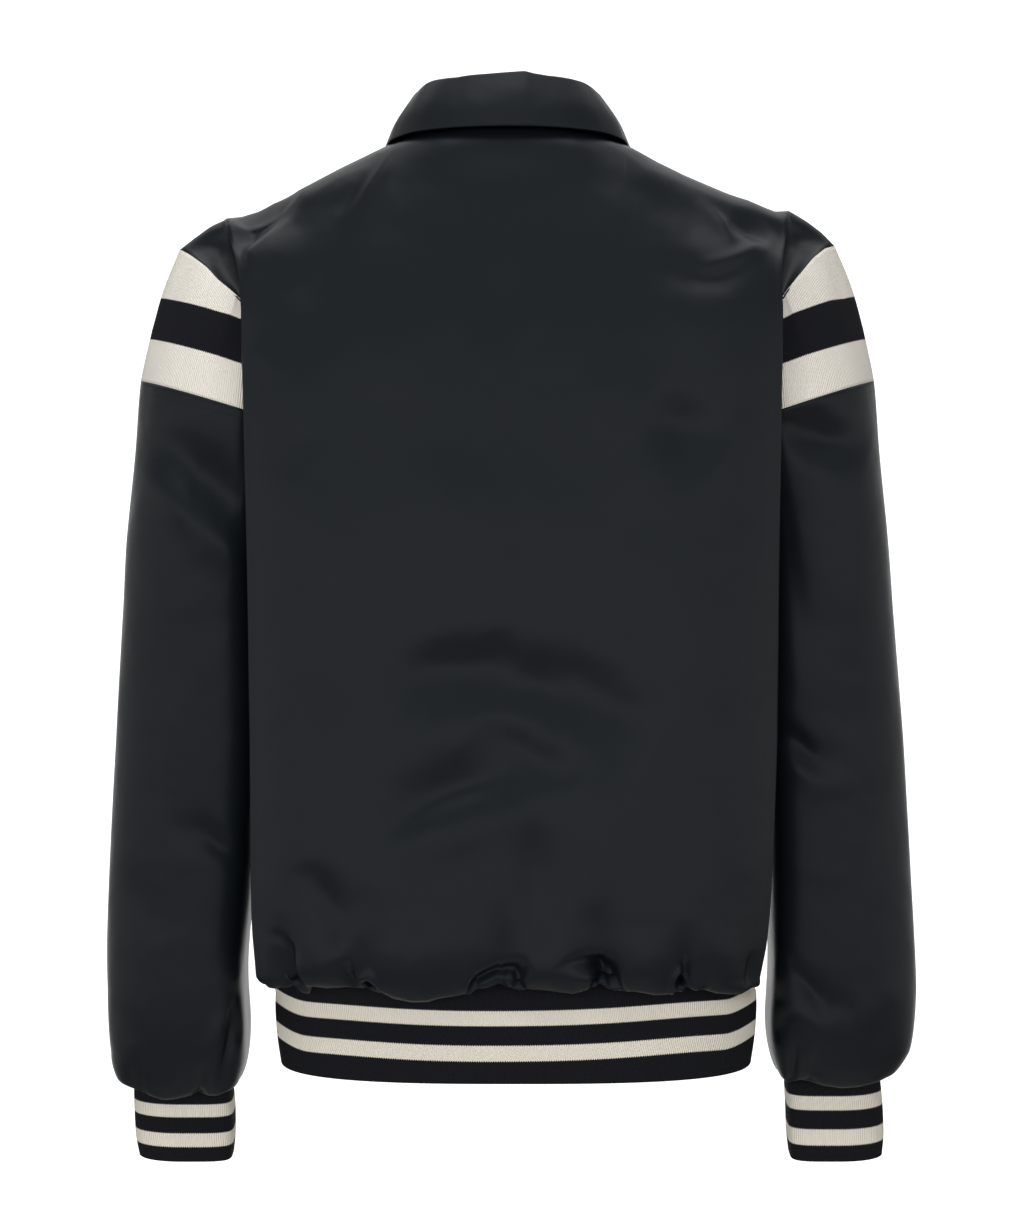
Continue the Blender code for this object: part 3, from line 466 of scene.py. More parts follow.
SLEEVE_FRONT_FOLDS = {
    "left": (
        Fold(285, -250, 215, -330, 6, 14, -3),
        Fold(300, -360, 225, -420, 6, 12, -2.6),
        Fold(205, -500, 285, -560, -6, 12, -3),
        Fold(225, -640, 240, -730, 0, 6, -3),
        Fold(262, -650, 268, -730, 0, 6, -3),
        Fold(290, -640, 286, -720, 0, 7, -2.4),
    ),
    "right": (
        Fold(-285, -240, -215, -320, -6, 14, -3),
        Fold(-300, -380, -225, -430, -6, 12, -2.6),
        Fold(-205, -520, -285, -570, 6, 12, -3),
        Fold(-228, -640, -238, -725, 0, 6, -3),
        Fold(-265, -650, -270, -725, 0, 6, -3),
    ),
}
SLEEVE_EDGE = {
    "left": (
        (205, 3.5), (214, 1.0), (222, -1.5), (229, -1.0), (236, 2.5), (243, -2.0), (252, -3.5),
        (262, -4.5), (272, -2.0), (280, 1.0), (290, 2.0),
    ),
    "right": (
        (-290, 2.0), (-282, 0.5), (-266, -1.5), (-250, -2.0), (-238, 0.5), (-229, 3.5), (-222, 4.0),
        (-216, 2.0), (-212, 1.0), (-205, 4.5), (-198, 6.0),
    ),
}
SLEEVE_EDGE_FADE = (-0.690, -0.710)
CUFF_RAISE = 0.0065
CUFF_RAISE_HEIGHTS = (-0.775, -0.725, -0.700, -0.640)

# How the shoulders' skyline differs from the form, in millimetres across and up
SKYLINE = (
    (-252, 2.0), (-240, 5.0), (-229, 4.5), (-215, 2.0), (-203, -1.5), (-190, 0.5), (-181, 1.5),
    (-165, 0.0), (-133, -2.0), (-113, -2.0), (-95, -0.5), (-80, 0.0), (130, 0.0), (150, -0.6),
    (179, -1.0), (190, -3.5), (203, -5.0), (216, -4.0), (226, -1.0), (240, 0.0),
)
SKYLINE_FADE = (-0.150, -0.085)

# Finishes: settings of the shaders, and colours that they mix
SATIN_LOOK = {"Base Color": (0.0054, 0.0076, 0.0099, 1.0), "Roughness": 0.41, "Specular IOR Level": 0.42}
SATIN_WAVES = {"Scale": 9.0, "Detail": 3.0, "Roughness": 0.45}
SATIN_WAVE_HEIGHT = 0.007
KNIT_LOOK = {"Roughness": 0.85, "Specular IOR Level": 0.2}
KNIT_BLACK = (0.0084, 0.0087, 0.0113, 1.0)
RIB_CREAM = (0.71, 0.665, 0.57, 1.0)
INSERT_CREAM = (0.74, 0.70, 0.63, 1.0)
SNAP_LOOK = {"Base Color": (0.02, 0.023, 0.027, 1.0), "Roughness": 0.25, "Metallic": 0.6}
FLOOR_LOOK = {"Base Color": (0.80, 0.80, 0.80, 1.0), "Roughness": 0.9}

# Ribs of the knit, and where its stripes change, down from the seam or, on the insert, up from it.
# A stripe's edge steps from rib to rib and is blurred over the width of a thread.
RIB_PITCH = 0.0017
RIB_HEIGHT = 0.0005
RIB_STRENGTH = 0.7
STRIPE_RAGGED = 0.00035
STRIPE_BLUR = 0.00015
HEM_STRIPES = (0.0279, 0.0387, 0.0532, 0.0648)
CUFF_STRIPES = (0.0225, 0.0320, 0.0444, 0.0548)
INSERT_STRIPE = (0.0325, 0.0650)

# Strength of the surroundings by direction, whose y runs towards the camera and z up. SKY holds
# heights and strengths. Each of the others carries y or z from its first two values to the strength
# of its last two: the backdrop, a factor that dims the sky away from the camera, the light straight
# overhead, and the light above the jacket on the far side, a product of two.
BACKDROP = (-0.97, -0.80, 1.05, 0.0)
AHEAD = (-0.40, 0.30, 0.75, 1.0)
SKY = (
    (-1.0, 0.30), (-0.75, 0.12), (-0.45, 0.05), (-0.14, 0.48),
    (0.06, 0.60), (0.28, 0.20), (0.65, 0.12), (1.0, 0.12),
)
OVERHEAD = (0.78, 1.0, 0.0, 1.0)
ABOVE_BY_Z = (0.42, 0.70, 0.0, 1.0)
ABOVE_BY_Y = (-0.60, -0.25, 0.85, 0.0)

Lamp = namedtuple("Lamp", "name place target width height power")
LAMPS = (
    Lamp("front", (0.6, 4.1, 0.1), (0.0, 0.0, -0.4), 7.0, 2.4, 140),
    Lamp("top", (0.2, 1.2, 2.3), (0.0, 0.0, -0.2), 3.6, 1.4, 60),
)
FLOOR_HALF = 3.0
FLOOR_Z = -1.45

# Camera: its place, and its lens and sensor in millimetres
CAMERA_PLACE = (0.0, 2.54, -0.355)
CAMERA_LENS = 97.43
CAMERA_SENSOR = 36.0


def unit(vectors):
    """The vectors at length one, and zero where they have none."""
    size = np.linalg.norm(vectors, axis=-1, keepdims=True)
    return vectors / np.maximum(size, 1e-12)


def smooth(share):
    """A share of 0 to 1 with a soft start and end."""
    share = np.clip(share, 0, 1)
    return share * share * (3 - 2 * share)


def change(values, start, full):
    """0 up to start and 1 from full on, with a soft change between them."""
    return smooth((values - start) / (full - start))


def window(values, limits):
    """1 between the inner two of four limits and 0 beyond the outer two, with soft changes."""
    low, low_full, high_full, high = limits
    return change(values, low, low_full) * change(values, high, high_full)


def curve(start, leaving, end, arriving, t):
    """The smooth curve from start to end, with its slope at each, read at t from 0 to 1."""
    return (
        (1 + 2 * t) * (1 - t) ** 2 * start
        + t * (1 - t) ** 2 * leaving
        + t**2 * (3 - 2 * t) * end
        + t**2 * (t - 1) * arriving
    )


def through(values, places, last_slope=None, closed=False):
    """Points of the smooth curve that passes through values[0], values[1], ..., read at places."""
    values = np.asarray(values, float)
    if closed:
        slopes = (np.roll(values, -1, axis=0) - np.roll(values, 1, axis=0)) / 2
        values = np.concatenate([values, values[:1]])
        slopes = np.concatenate([slopes, slopes[:1]])
    else:
        slopes = np.gradient(values, axis=0)
    if last_slope is not None:
        slopes[-1] = last_slope
    places = np.asarray(places, float)
    index = np.clip(np.floor(places).astype(int), 0, len(values) - 2)
    t = (places - index).reshape(places.shape + (1,) * (values.ndim - 1))
    return curve(values[index], slopes[index], values[index + 1], slopes[index + 1], t)


def read_off(table, x):
    """The second column of a table in millimetres, in metres, at places x along its first column."""
    places, values = np.array(table).T / 1000
    return np.interp(x, places, values)


def point_at(place, measures, points):
    """A point between a row of points, at a place in their rising measures."""
    return np.array([np.interp(place, measures, column) for column in points.T])


def mirrored(grid):
    """The grid on the wearer's other side."""
    return grid * np.array([-1.0, 1.0, 1.0])


def normals_of(grid, closed, turn):
    """Unit normals of a grid's points. turn is 1 or -1, to make them face out."""
    if closed:
        across = np.roll(grid, -1, axis=1) - np.roll(grid, 1, axis=1)
    else:
        across = np.gradient(grid, axis=1)
    return unit(np.cross(across, np.gradient(grid, axis=0))) * turn


def lengths_along(grid, axis):
    """Distance along each row or column of a grid from its first point."""
    steps = np.linalg.norm(np.diff(grid, axis=axis), axis=-1)
    total = np.cumsum(steps, axis=axis)
    pad = [(1, 0) if number == axis else (0, 0) for number in (0, 1)]
    return np.pad(total, pad)


def measured(grid, closed=False):
    """Metres across and along a grid at its points. A closed one comes round to its first column."""
    if closed:
        grid = np.concatenate([grid, grid[:, :1]], axis=1)
    return np.stack([lengths_along(grid, 1), lengths_along(grid, 0)], axis=-1)


# Form


def shoulder_height(x):
    """Height of the shoulder seam at a distance from the middle, with its pucker over the fold."""
    slope = (SHOULDER_TIP[2] - NECK_SIDE_Z) / (SHOULDER_TIP[0] - NECK_HALF_WIDTH)
    pucker = SHOULDER_PUCKER * math.exp(-(((x - SHOULDER_PUCKER_X) / SHOULDER_PUCKER_WIDTH) ** 2))
    fade = min(1.0, (SHOULDER_TIP[0] - x) / SHOULDER_PUCKER_END)
    return NECK_SIDE_Z + slope * (x - NECK_HALF_WIDTH) + pucker * fade


def neck_point(angle):
    """A point of the neck seam, by its angle from the centre back round to the centre front."""
    x = NECK_HALF_WIDTH * math.sin(angle)
    if math.cos(angle) >= 0:
        return (x, NECK_BACK * math.cos(angle), NECK_SIDE_Z * math.sin(angle))
    forward = -math.cos(angle)
    return (x, -NECK_FRONT * forward, NECK_SIDE_Z - (NECK_SIDE_Z + NECK_DROP) * forward**NECK_DIP_POWER)


def top_point(fraction, side):
    """The body's upper edge: the neck seam, then the shoulder seam. side is 1 at the back, -1 in front."""
    x = abs(fraction) * SHOULDER_FOLD_X
    if x < NECK_HALF_WIDTH - 1e-9:
        angle = math.asin(x / NECK_HALF_WIDTH)
        point = neck_point(angle if side > 0 else math.pi - angle)
        return (math.copysign(point[0], fraction), point[1], point[2])
    return (x, 0.0, shoulder_height(x))


def level_point(level, fraction):
    """A point of a level, from the centre (0) to the fold edge (1)."""
    share = abs(fraction)
    y = level.fold_y + (level.centre_y - level.fold_y) * (1 - share**level.flat)
    z = level.z_centre + (level.z_fold - level.z_centre) * share**2
    return (fraction * level.fold_x, y, z)


def armhole(places):
    """Points of the armhole seam, by their place in its table."""
    return through([(row.x, row.y, row.z) for row in ARMHOLE], places, closed=True)


def side_edge(rows, side):
    """The outer edge of a body panel: the side seam, then the armhole up to the shoulder tip."""
    lower = []
    for back, front in zip(BACK_LEVELS[:UNDERARM], FRONT_LEVELS):
        lower.append((back.side_x, 0.0, (back.z_fold + front.z_fold) / 2))
    lower.append((ARMHOLE[ARM_LOW].x, ARMHOLE[ARM_LOW].y, ARMHOLE[ARM_LOW].z))
    rows = np.asarray(rows)
    places = TOP - rows if side > 0 else (ARM_TURN - (TOP - rows)) % ARM_TURN
    below = (rows <= UNDERARM)[:, None]
    return np.where(below, through(lower, np.minimum(rows, UNDERARM)), armhole(places))


def upright(levels, side, fraction):
    """The points that a column passes through: the levels, the rounding over the crest and the top."""
    points = [level_point(level, fraction) for level in levels] + [top_point(fraction, side)]
    points = np.array(points)
    end = points[-1].copy()
    end[1] *= 1 - smooth((abs(end[0]) / NECK_HALF_WIDTH - NECK_SIDE_SHARE) / (1 - NECK_SIDE_SHARE))
    rounding = points[-2] + (end - points[-2]) * ROUNDING
    return np.insert(points, TOP, rounding, axis=0)


def half_body(levels, other_levels, side, fractions, rows):
    """Outer points of half a body panel, row by row, from its first fraction out to the armhole."""
    columns = []
    crest = TOP - 1
    places = [row if row <= crest else crest + 2 * (row - crest) for row in rows]
    for fraction in fractions:
        points = upright(levels, side, fraction)
        across = upright(other_levels, -side, fraction)[-2] - points[-2]
        own = points[-1] - points[-2]
        across = across * own[1] / across[1]
        # The shoulder runs on level over its seam, and so does the neck's side.
        share = np.interp(abs(fraction), SHOULDER_EASED, (0.0, 1.0))
        columns.append(through(points, places, last_slope=own + (across - own) * share))
    grid = np.stack(columns, axis=1)
    fold, before = grid[:, -1], grid[:, -2]
    edge = side_edge(rows, side)
    reach = np.linalg.norm(edge - fold, axis=1, keepdims=True)
    leaving = unit(fold - before) * reach * TURN_PULL
    arriving = edge - fold
    arriving[:, 0] = np.maximum(arriving[:, 0], 0)
    shares = np.linspace(0, 1, TURN_COLUMNS + 1)[1:]
    turned = [curve(fold, leaving, edge, arriving, share) for share in shares]
    return np.concatenate([grid, np.stack(turned, axis=1)], axis=1)


def body_rows():
    """The rows of a body panel from the hem seam up, counted in levels."""
    rows = [0.0]
    for start, steps in enumerate(ROW_STEPS):
        rows += [start + (step + 1) / steps for step in range(steps)]
    return rows


def body_fractions():
    """The columns of half a body panel from the centre out, as shares of the way to its fold edge."""
    reach = NECK_HALF_WIDTH / SHOULDER_FOLD_X
    neck = np.linspace(0, reach, NECK_COLUMNS + 1)
    neck = np.sort(np.concatenate([neck, reach * np.array(NECK_SIDE_COLUMNS)]))
    shoulder = np.linspace(reach, 1, SHOULDER_COLUMNS + 1)[1:]
    return list(neck) + list(shoulder)


def back_grid():
    """Outer points of the back, from the wearer's right to the left."""
    left = half_body(BACK_LEVELS, FRONT_LEVELS, 1, body_fractions(), body_rows())
    return np.concatenate([mirrored(left)[:, :0:-1], left], axis=1)


def front_grid(lift):
    """Outer points of one front, on the wearer's left, from its edge past the centre to the side."""
    reach = OVERLAP / SHOULDER_FOLD_X
    past = list(np.linspace(-reach, 0, LAP_COLUMNS + 1)[:-1])
    grid = half_body(FRONT_LEVELS, BACK_LEVELS, -1, past + body_fractions(), body_rows())
    share = smooth((OVERLAP_FADE - grid[..., 0]) / (OVERLAP_FADE - OVERLAP))
    grid[..., 1] -= lift * share
    if lift < 0:
        raised = np.maximum(grid[..., 2], grid[:1, :, 2] + SATIN_THICK + LAP_CLEARANCE)
        grid[1:, :, 2] += ((raised - grid[..., 2]) * share)[1:]
    return grid


def ring_points(places, angles):
    """Points of the sleeve's rings. Angles run from the outer side over the back."""
    z, inner, outer, middle, half_depth, dip = np.moveaxis(through(SLEEVE_RINGS, places), -1, 0)
    c, s = np.cos(angles), np.sin(angles)
    power = np.where(c < 0, RING_INNER_POWER, RING_POWER)
    x = (inner + outer) / 2 + (outer - inner) / 2 * np.sign(c) * np.abs(c) ** (2 / power)
    y = half_depth * np.sign(s) * np.abs(s) ** (2 / power)
    return np.stack([x, middle + y, z - dip * y], axis=-1)


def ring_places(z):
    """The places in the table of heights above the merge level."""
    heights = [-ring.z for ring in SLEEVE_RINGS[: MERGE + 1]]
    return np.interp(-z, heights, range(MERGE + 1))


def sleeve_points(start, angles, z):
    """Points of the upper sleeve: its rings, drawn over to the armhole towards the seam."""
    low = SLEEVE_RINGS[MERGE].z
    fade = (1 - (start[..., 2] - z) / (start[..., 2] - low)) ** 2
    offset = start - ring_points(ring_places(start[..., 2]), angles)
    points = ring_points(ring_places(z), angles) + offset * fade[..., None]
    points[..., 2] = z
    return points


def insert_seam(start, angles):
    """Where the columns of the sleeve cross the lower seam of the striped insert."""
    z = np.full(len(start), INSERT_OUTER_Z)
    for _ in range(INSERT_ROUNDS):
        x = sleeve_points(start, angles, z)[:, 0]
        z = np.minimum(INSERT_OUTER_Z - INSERT_SLOPE * (INSERT_OUTER_X - x), start[:, 2] - INSERT_LEAST)
    return z


def sleeve_columns(first, last):
    """Places, armhole points and angles of the sleeve's columns between two places of the armhole."""
    places = np.linspace(first, last, int(round((last - first) * SLEEVE_COLUMNS)) + 1)
    angles = np.radians([row.angle for row in ARMHOLE] + [360])
    turns, rest = np.divmod(places, ARM_TURN)
    return places, armhole(rest), np.interp(rest, range(ARM_TURN + 1), angles) + turns * 2 * math.pi


def sleeve_grid():
    """Outer points of the left lower sleeve, from the insert or the armhole down to the cuff seam."""
    low = SLEEVE_RINGS[MERGE].z
    places, start, angles = (values[:-1] for values in sleeve_columns(0, ARM_TURN))
    in_insert = (places <= INSERT_END) | (places >= ARM_TURN - INSERT_END)
    top = np.where(in_insert, insert_seam(start, angles), start[:, 2])
    rows = [np.where(in_insert[:, None], sleeve_points(start, angles, top), start)]
    for share in np.linspace(0, 1, UPPER_SLEEVE_ROWS + 1)[1:]:
        rows.append(sleeve_points(start, angles, top + (low - top) * share))
    for number, steps in enumerate(RING_STEPS):
        for step in range(steps):
            place = MERGE + number + (step + 1) / steps
            rows.append(ring_points(np.full(len(angles), place), angles))
    return np.array(rows)


def insert_grid():
    """Outer points of the left striped insert, from its front end over the shoulder to its back end."""
    _, start, angles = sleeve_columns(-INSERT_END, INSERT_END)
    end = insert_seam(start, angles)
    rows = [start]
    for share in np.linspace(0, 1, INSERT_ROWS + 1)[1:]:
        rows.append(sleeve_points(start, angles, start[:, 2] + (end - start[:, 2]) * share))
    return np.array(rows)


def cuff_grid(seam):
    """Outer points of the left cuff, which hangs from the sleeve's last ring."""
    centre = seam.mean(axis=0)
    places = np.linspace(0, len(CUFF_PROFILE) - 1, CUFF_ROWS + 1)
    rows = []
    for share, wide, deep in through(CUFF_PROFILE, places):
        ring = centre + (seam - centre) * np.array([wide, deep, deep])
        rows.append(ring - np.array([0, 0, CUFF_HEIGHT * share]))
    return np.array(rows)


def hem_grid(back, left, right):
    """Outer points of the hem band, from the left front's edge round the back to the right front's."""
    seam = np.concatenate([left[0], back[0, ::-1][1:-1], right[0, ::-1]])
    ahead, behind = FRONT_LEVELS[0], BACK_LEVELS[0]
    x, y = np.abs(seam[:, :2]).T
    deep = np.where(seam[:, 1] > 0, behind.centre_y, -ahead.centre_y)
    size = ((x / behind.side_x) ** HEM_POWER + (y / deep) ** HEM_POWER) ** (1 / HEM_POWER)
    eased = seam / size[:, None]
    depths = (ahead.centre_y, behind.centre_y)
    eased[:, 2] = np.interp(eased[:, 1], depths, (ahead.z_centre, behind.z_centre))
    places = np.linspace(0, len(HEM_PROFILE) - 1, HEM_ROWS + 1)
    rows = []
    for share, bulge in through(HEM_PROFILE, places):
        ring = seam + (eased - seam) * smooth(share / HEM_EASED)
        outward = unit(ring * np.array([1.0, 1.0, 0.0]))
        rows.append(ring + outward * HEM_BULGE * bulge - np.array([0, 0, HEM_HEIGHT * share]))
    return np.array(rows)


def collar_section(angle):
    """The collar's visible face at one angle: up the stand, over the fold and down the fall."""
    angles = [math.radians(row.angle) for row in COLLAR_STATIONS]
    place = np.interp(angle, angles, range(len(angles)))
    _, rise, lean, out, drop, spread = through(COLLAR_STATIONS, [place])[0]
    seam = np.array(neck_point(abs(angle))) * np.array([math.copysign(1, angle), 1, 1])
    outward = np.array([math.sin(angle), math.cos(angle), 0.0])
    along = np.array([-math.cos(angle), math.sin(angle), 0.0])
    up = np.array([0.0, 0.0, 1.0])
    fold = seam + up * rise - outward * lean
    edge = seam - up * drop + outward * out + along * spread
    inner = fold - outward * FOLD_RADIUS - up * FOLD_RADIUS
    outer = fold + outward * FOLD_RADIUS - up * FOLD_RADIUS
    start = seam - up * COLLAR_SINK - outward * (SATIN_THICK + COLLAR_GAP)
    middle = (outer + edge) / 2 + outward * FALL_BULGE
    points = [start, (start + inner) / 2, inner, fold, outer, middle, edge]
    return through(points, np.linspace(0, len(points) - 1, (len(points) - 1) * COLLAR_STEPS + 1))


def collar_grid():
    """Outer points of the collar, from the left front end round the back to the right front end."""
    last = math.radians(COLLAR_STATIONS[-1].angle)
    left = np.array([collar_section(angle) for angle in np.linspace(0, last, COLLAR_COLUMNS // 2 + 1)])
    left = left.transpose(1, 0, 2)
    grid = np.concatenate([left[:, ::-1], mirrored(left)[:, 1:]], axis=1)
    lift = read_off(COLLAR_TOP, grid[..., 0]) * smooth(grid[..., 2] / COLLAR_TOP_FADE)
    grid[..., 2] += lift * (grid[..., 1] > 0)
    return grid


# Folds, edges and settling


def swayed(points):
    """The points, moved sideways as the whole garment has settled."""
    heights, *columns = zip(*SWAYS)
    body, inner, outer = (np.interp(points[..., 2], heights, column) for column in columns)
    inner_share, outer_share = (
        np.clip((np.abs(points[..., 0]) - low) / (high - low), 0, 1)
        for low, high in zip(SWAY_PLACES, SWAY_PLACES[1:])
    )
    moved = points.copy()
    moved[..., 0] += body + (inner - body) * inner_share + (outer - inner) * outer_share
    return moved


def skylined(points):
    """The points, with the shoulders raised or lowered as their skyline asks."""
    moved = points.copy()
    moved[..., 2] += read_off(SKYLINE, points[..., 0]) * change(points[..., 2], *SKYLINE_FADE)
    return moved


def settled(points):
    """The points where the whole garment has settled."""
    return swayed(skylined(points))


def edged(grid, edge, rows):
    """A body panel with its bloused lower edge drawn to the heights of a table."""
    lowest = grid[int(np.argmin(np.abs(rows - 1)))]
    x = lowest[:, 0]
    shift = read_off(edge, x) - lowest[:, 2]
    first, last = edge[0][0] / 1000 - EDGE_BEYOND, edge[-1][0] / 1000 + EDGE_BEYOND
    shift[(x < first) | (x > last)] = 0
    above = grid[..., 2] - lowest[:, 2]
    weight = np.where(rows[:, None] < 1, smooth(rows[:, None]), np.exp(-((above / EDGE_REACH) ** 2)))
    moved = grid.copy()
    moved[..., 2] += shift * weight
    return moved


def eased_neck(grid, rows):
    """A body panel with its surface evened out beside the neck, where its top turns a corner."""
    weight = window(np.abs(grid[..., 0]), NECK_EASED) * window(rows, NECK_EASED_ROWS)[:, None]
    eased = grid.copy()
    x = grid[..., :1]
    wide = np.roll(x, -1, axis=1) - np.roll(x, 1, axis=1)
    before = np.clip((x - np.roll(x, 1, axis=1)) / np.where(wide == 0, 1, wide), 0, 1)
    for _ in range(NECK_EASED_ROUNDS):
        beside = np.roll(eased, 1, axis=1) * (1 - before) + np.roll(eased, -1, axis=1) * before
        eased[..., 1:] += (beside - eased)[..., 1:] * weight[..., None]
    return eased


def fold_depth(folds, x, z, facing):
    """How far the cloth stands out at each place, in metres, from a table of its folds.

    facing is 1 where the cloth is seen from behind and -1 where it is seen from the front.
    """
    depth = np.zeros_like(x)
    x, z = x * 1000, z * 1000
    for fold in folds:
        length = math.hypot(fold.x1 - fold.x0, fold.z1 - fold.z0)
        ux, uz = (fold.x1 - fold.x0) / length, (fold.z1 - fold.z0) / length
        along = ((x - fold.x0) * ux + (z - fold.z0) * uz) / length
        off = ((x - fold.x0) * uz - (z - fold.z0) * ux) * facing
        off = off - fold.bow * 4 * along * (1 - along)
        width = np.where(off > 0, fold.width * fold.left, fold.width)
        taper = np.sin(math.pi * np.clip(along, 0, 1)) ** FOLD_TAPER
        depth += fold.depth * np.exp(-((off / width) ** 2)) * taper
    return depth / 1000


def hollowed(grid, column, step, weight):
    """The back with the cloth beyond one fold edge drawn into a hollow, by each row's weight."""
    shares = np.arange(1, TURN_COLUMNS + 1) / TURN_COLUMNS
    eased = np.stack([shares**WEDGE_ACROSS, 1 - (1 - shares) ** WEDGE_DOWN, shares], axis=-1)
    beyond = column + step * np.arange(1, TURN_COLUMNS + 1)
    fold, end = grid[:, column, None], grid[:, beyond[-1], None]
    moved = grid.copy()
    moved[:, beyond] += (fold + (end - fold) * eased - grid[:, beyond]) * weight[:, None, None]
    return moved


def draped(grid, folds, edge, facing, turn):
    """A body panel with its folds, its fold edges' ridges and its bloused lower edge.

    facing is 1 for the back and -1 for a front. turn is 1 or -1, to make the normals face out.
    """
    rows = np.array(body_rows())
    last = grid.shape[1] - 1
    depth = fold_depth(folds, grid[..., 0], grid[..., 2], facing)
    across = lengths_along(grid, 1)
    wedge = window(rows, WEDGE_ROWS)
    sides = ((TURN_COLUMNS, -1), (last - TURN_COLUMNS, 1))
    if facing < 0:
        # A front has one ridge: the left one's on its fold edge, the right one's under the lap.
        sides = sides[:1] if grid[0, 0, 0] > grid[0, -1, 0] else sides[1:]
    for column, step in sides:
        past = (across - across[:, column, None]) * step
        ridge = EDGE_RIDGE * np.exp(-((past / EDGE_RIDGE_WIDTH) ** 2))
        ridge = ridge * change(rows, *EDGE_RIDGE_ROWS)[:, None]
        if facing > 0:
            inside = smooth(-past / EDGE_KEPT) + change(rows, *EDGE_KEPT_ROWS)[:, None]
            wide = np.abs(across[:, column + TURN_COLUMNS * step] - across[:, column])
            share = np.clip(past / np.maximum(wide, 1e-6)[:, None], 0, 1)
            dip = WEDGE_DIP * np.sin(math.pi * share**WEDGE_DIP_POWER) * wedge[:, None]
            depth = depth * np.minimum(inside, 1) - dip
            grid = hollowed(grid, column, step, wedge)
        depth = depth + ridge
    grid = eased_neck(grid, rows)
    depth *= window(rows, FOLD_ROWS)[:, None]
    moved = grid + normals_of(grid, False, turn) * depth[..., None]
    if facing > 0:
        neck = smooth((NECK_HALF_WIDTH - np.abs(grid[-1:, :, 0])) / NECK_RISE_FADE)
        moved[..., 2] += NECK_RISE * change(rows, *NECK_RISE_ROWS)[:, None] * neck
    return edged(moved, edge, rows)


def folded_sleeve(grid, turn, side):
    """A sleeve with its folds on both faces, and its bloused lower edge."""
    normals = normals_of(grid, True, turn)
    behind = fold_depth(SLEEVE_FOLDS[side], grid[..., 0], grid[..., 2], 1)
    ahead = fold_depth(SLEEVE_FRONT_FOLDS[side], grid[..., 0], grid[..., 2], -1)
    facing = normals[..., 1] / SLEEVE_FACE
    depth = behind * smooth(facing) + ahead * smooth(-facing)
    rows = np.arange(len(grid))
    fade = smooth(rows / SLEEVE_FADE_ROWS[0]) * smooth((rows[-1] - rows) / SLEEVE_FADE_ROWS[1])
    moved = grid + normals * (depth * fade[:, None])[..., None]
    low = change(moved[..., 2], *SLEEVE_EDGE_FADE) * (moved[..., 1] > SLEEVE_RINGS[-1].middle)
    moved[..., 2] += read_off(SLEEVE_EDGE[side], moved[..., 0]) * low * fade[:, None]
    return cuff_raised(moved) if side == "right" else moved


def cuff_raised(grid):
    """The right cuff's seam sits higher than the left one's, over a longer cuff."""
    moved = grid.copy()
    moved[..., 2] += CUFF_RAISE * window(grid[..., 2], CUFF_RAISE_HEIGHTS)
    return moved


# Finishes


def new_material(name, settings):
    """A new material with its shader's settings, the tree of its nodes and the shader."""
    material = bpy.data.materials.new(name)
    material.use_nodes = True
    tree = material.node_tree
    shader = tree.nodes["Principled BSDF"]
    for socket, value in settings.items():
        shader.inputs[socket].default_value = value
    return material, tree, shader


def math_node(tree, operation, *values):
    """The result of a math node on sockets and numbers."""
    node = tree.nodes.new("ShaderNodeMath")
    node.operation = operation
    for socket, value in zip(node.inputs, values):
        if isinstance(value, float):
            socket.default_value = value
        else:
            tree.links.new(value, socket)
    return node.outputs[0]


def map_range(tree, value, limits, kind="SMOOTHSTEP"):
    """A value carried from one range to another: limits holds the ends of both."""
    node = tree.nodes.new("ShaderNodeMapRange")
    node.interpolation_type = kind
    for socket, limit in zip(("From Min", "From Max", "To Min", "To Max"), limits):
        node.inputs[socket].default_value = limit
    tree.links.new(value, node.inputs["Value"])
    return node.outputs["Result"]


def split_node(tree, kind, output):
    """A node that gives places or directions, and its outputs split into X, Y and Z."""
    place = tree.nodes.new(kind)
    split = tree.nodes.new("ShaderNodeSeparateXYZ")
    tree.links.new(place.outputs[output], split.inputs["Vector"])
    return place, split.outputs


def add_relief(tree, shader, height, strength, distance):
    """Relief on the shader's surface, from a height."""
    bump = tree.nodes.new("ShaderNodeBump")
    bump.inputs["Strength"].default_value = strength
    bump.inputs["Distance"].default_value = distance
    tree.links.new(height, bump.inputs["Height"])
    tree.links.new(bump.outputs["Normal"], shader.inputs["Normal"])


def satin_material(name):
    """Charcoal satin with faint waves."""
    material, tree, shader = new_material(name, SATIN_LOOK)
    place = tree.nodes.new("ShaderNodeTexCoord")
    waves = tree.nodes.new("ShaderNodeTexNoise")
    for socket, value in SATIN_WAVES.items():
        waves.inputs[socket].default_value = value
    tree.links.new(place.outputs["Object"], waves.inputs["Vector"])
    add_relief(tree, shader, waves.outputs["Fac"], 1.0, SATIN_WAVE_HEIGHT)
    return material


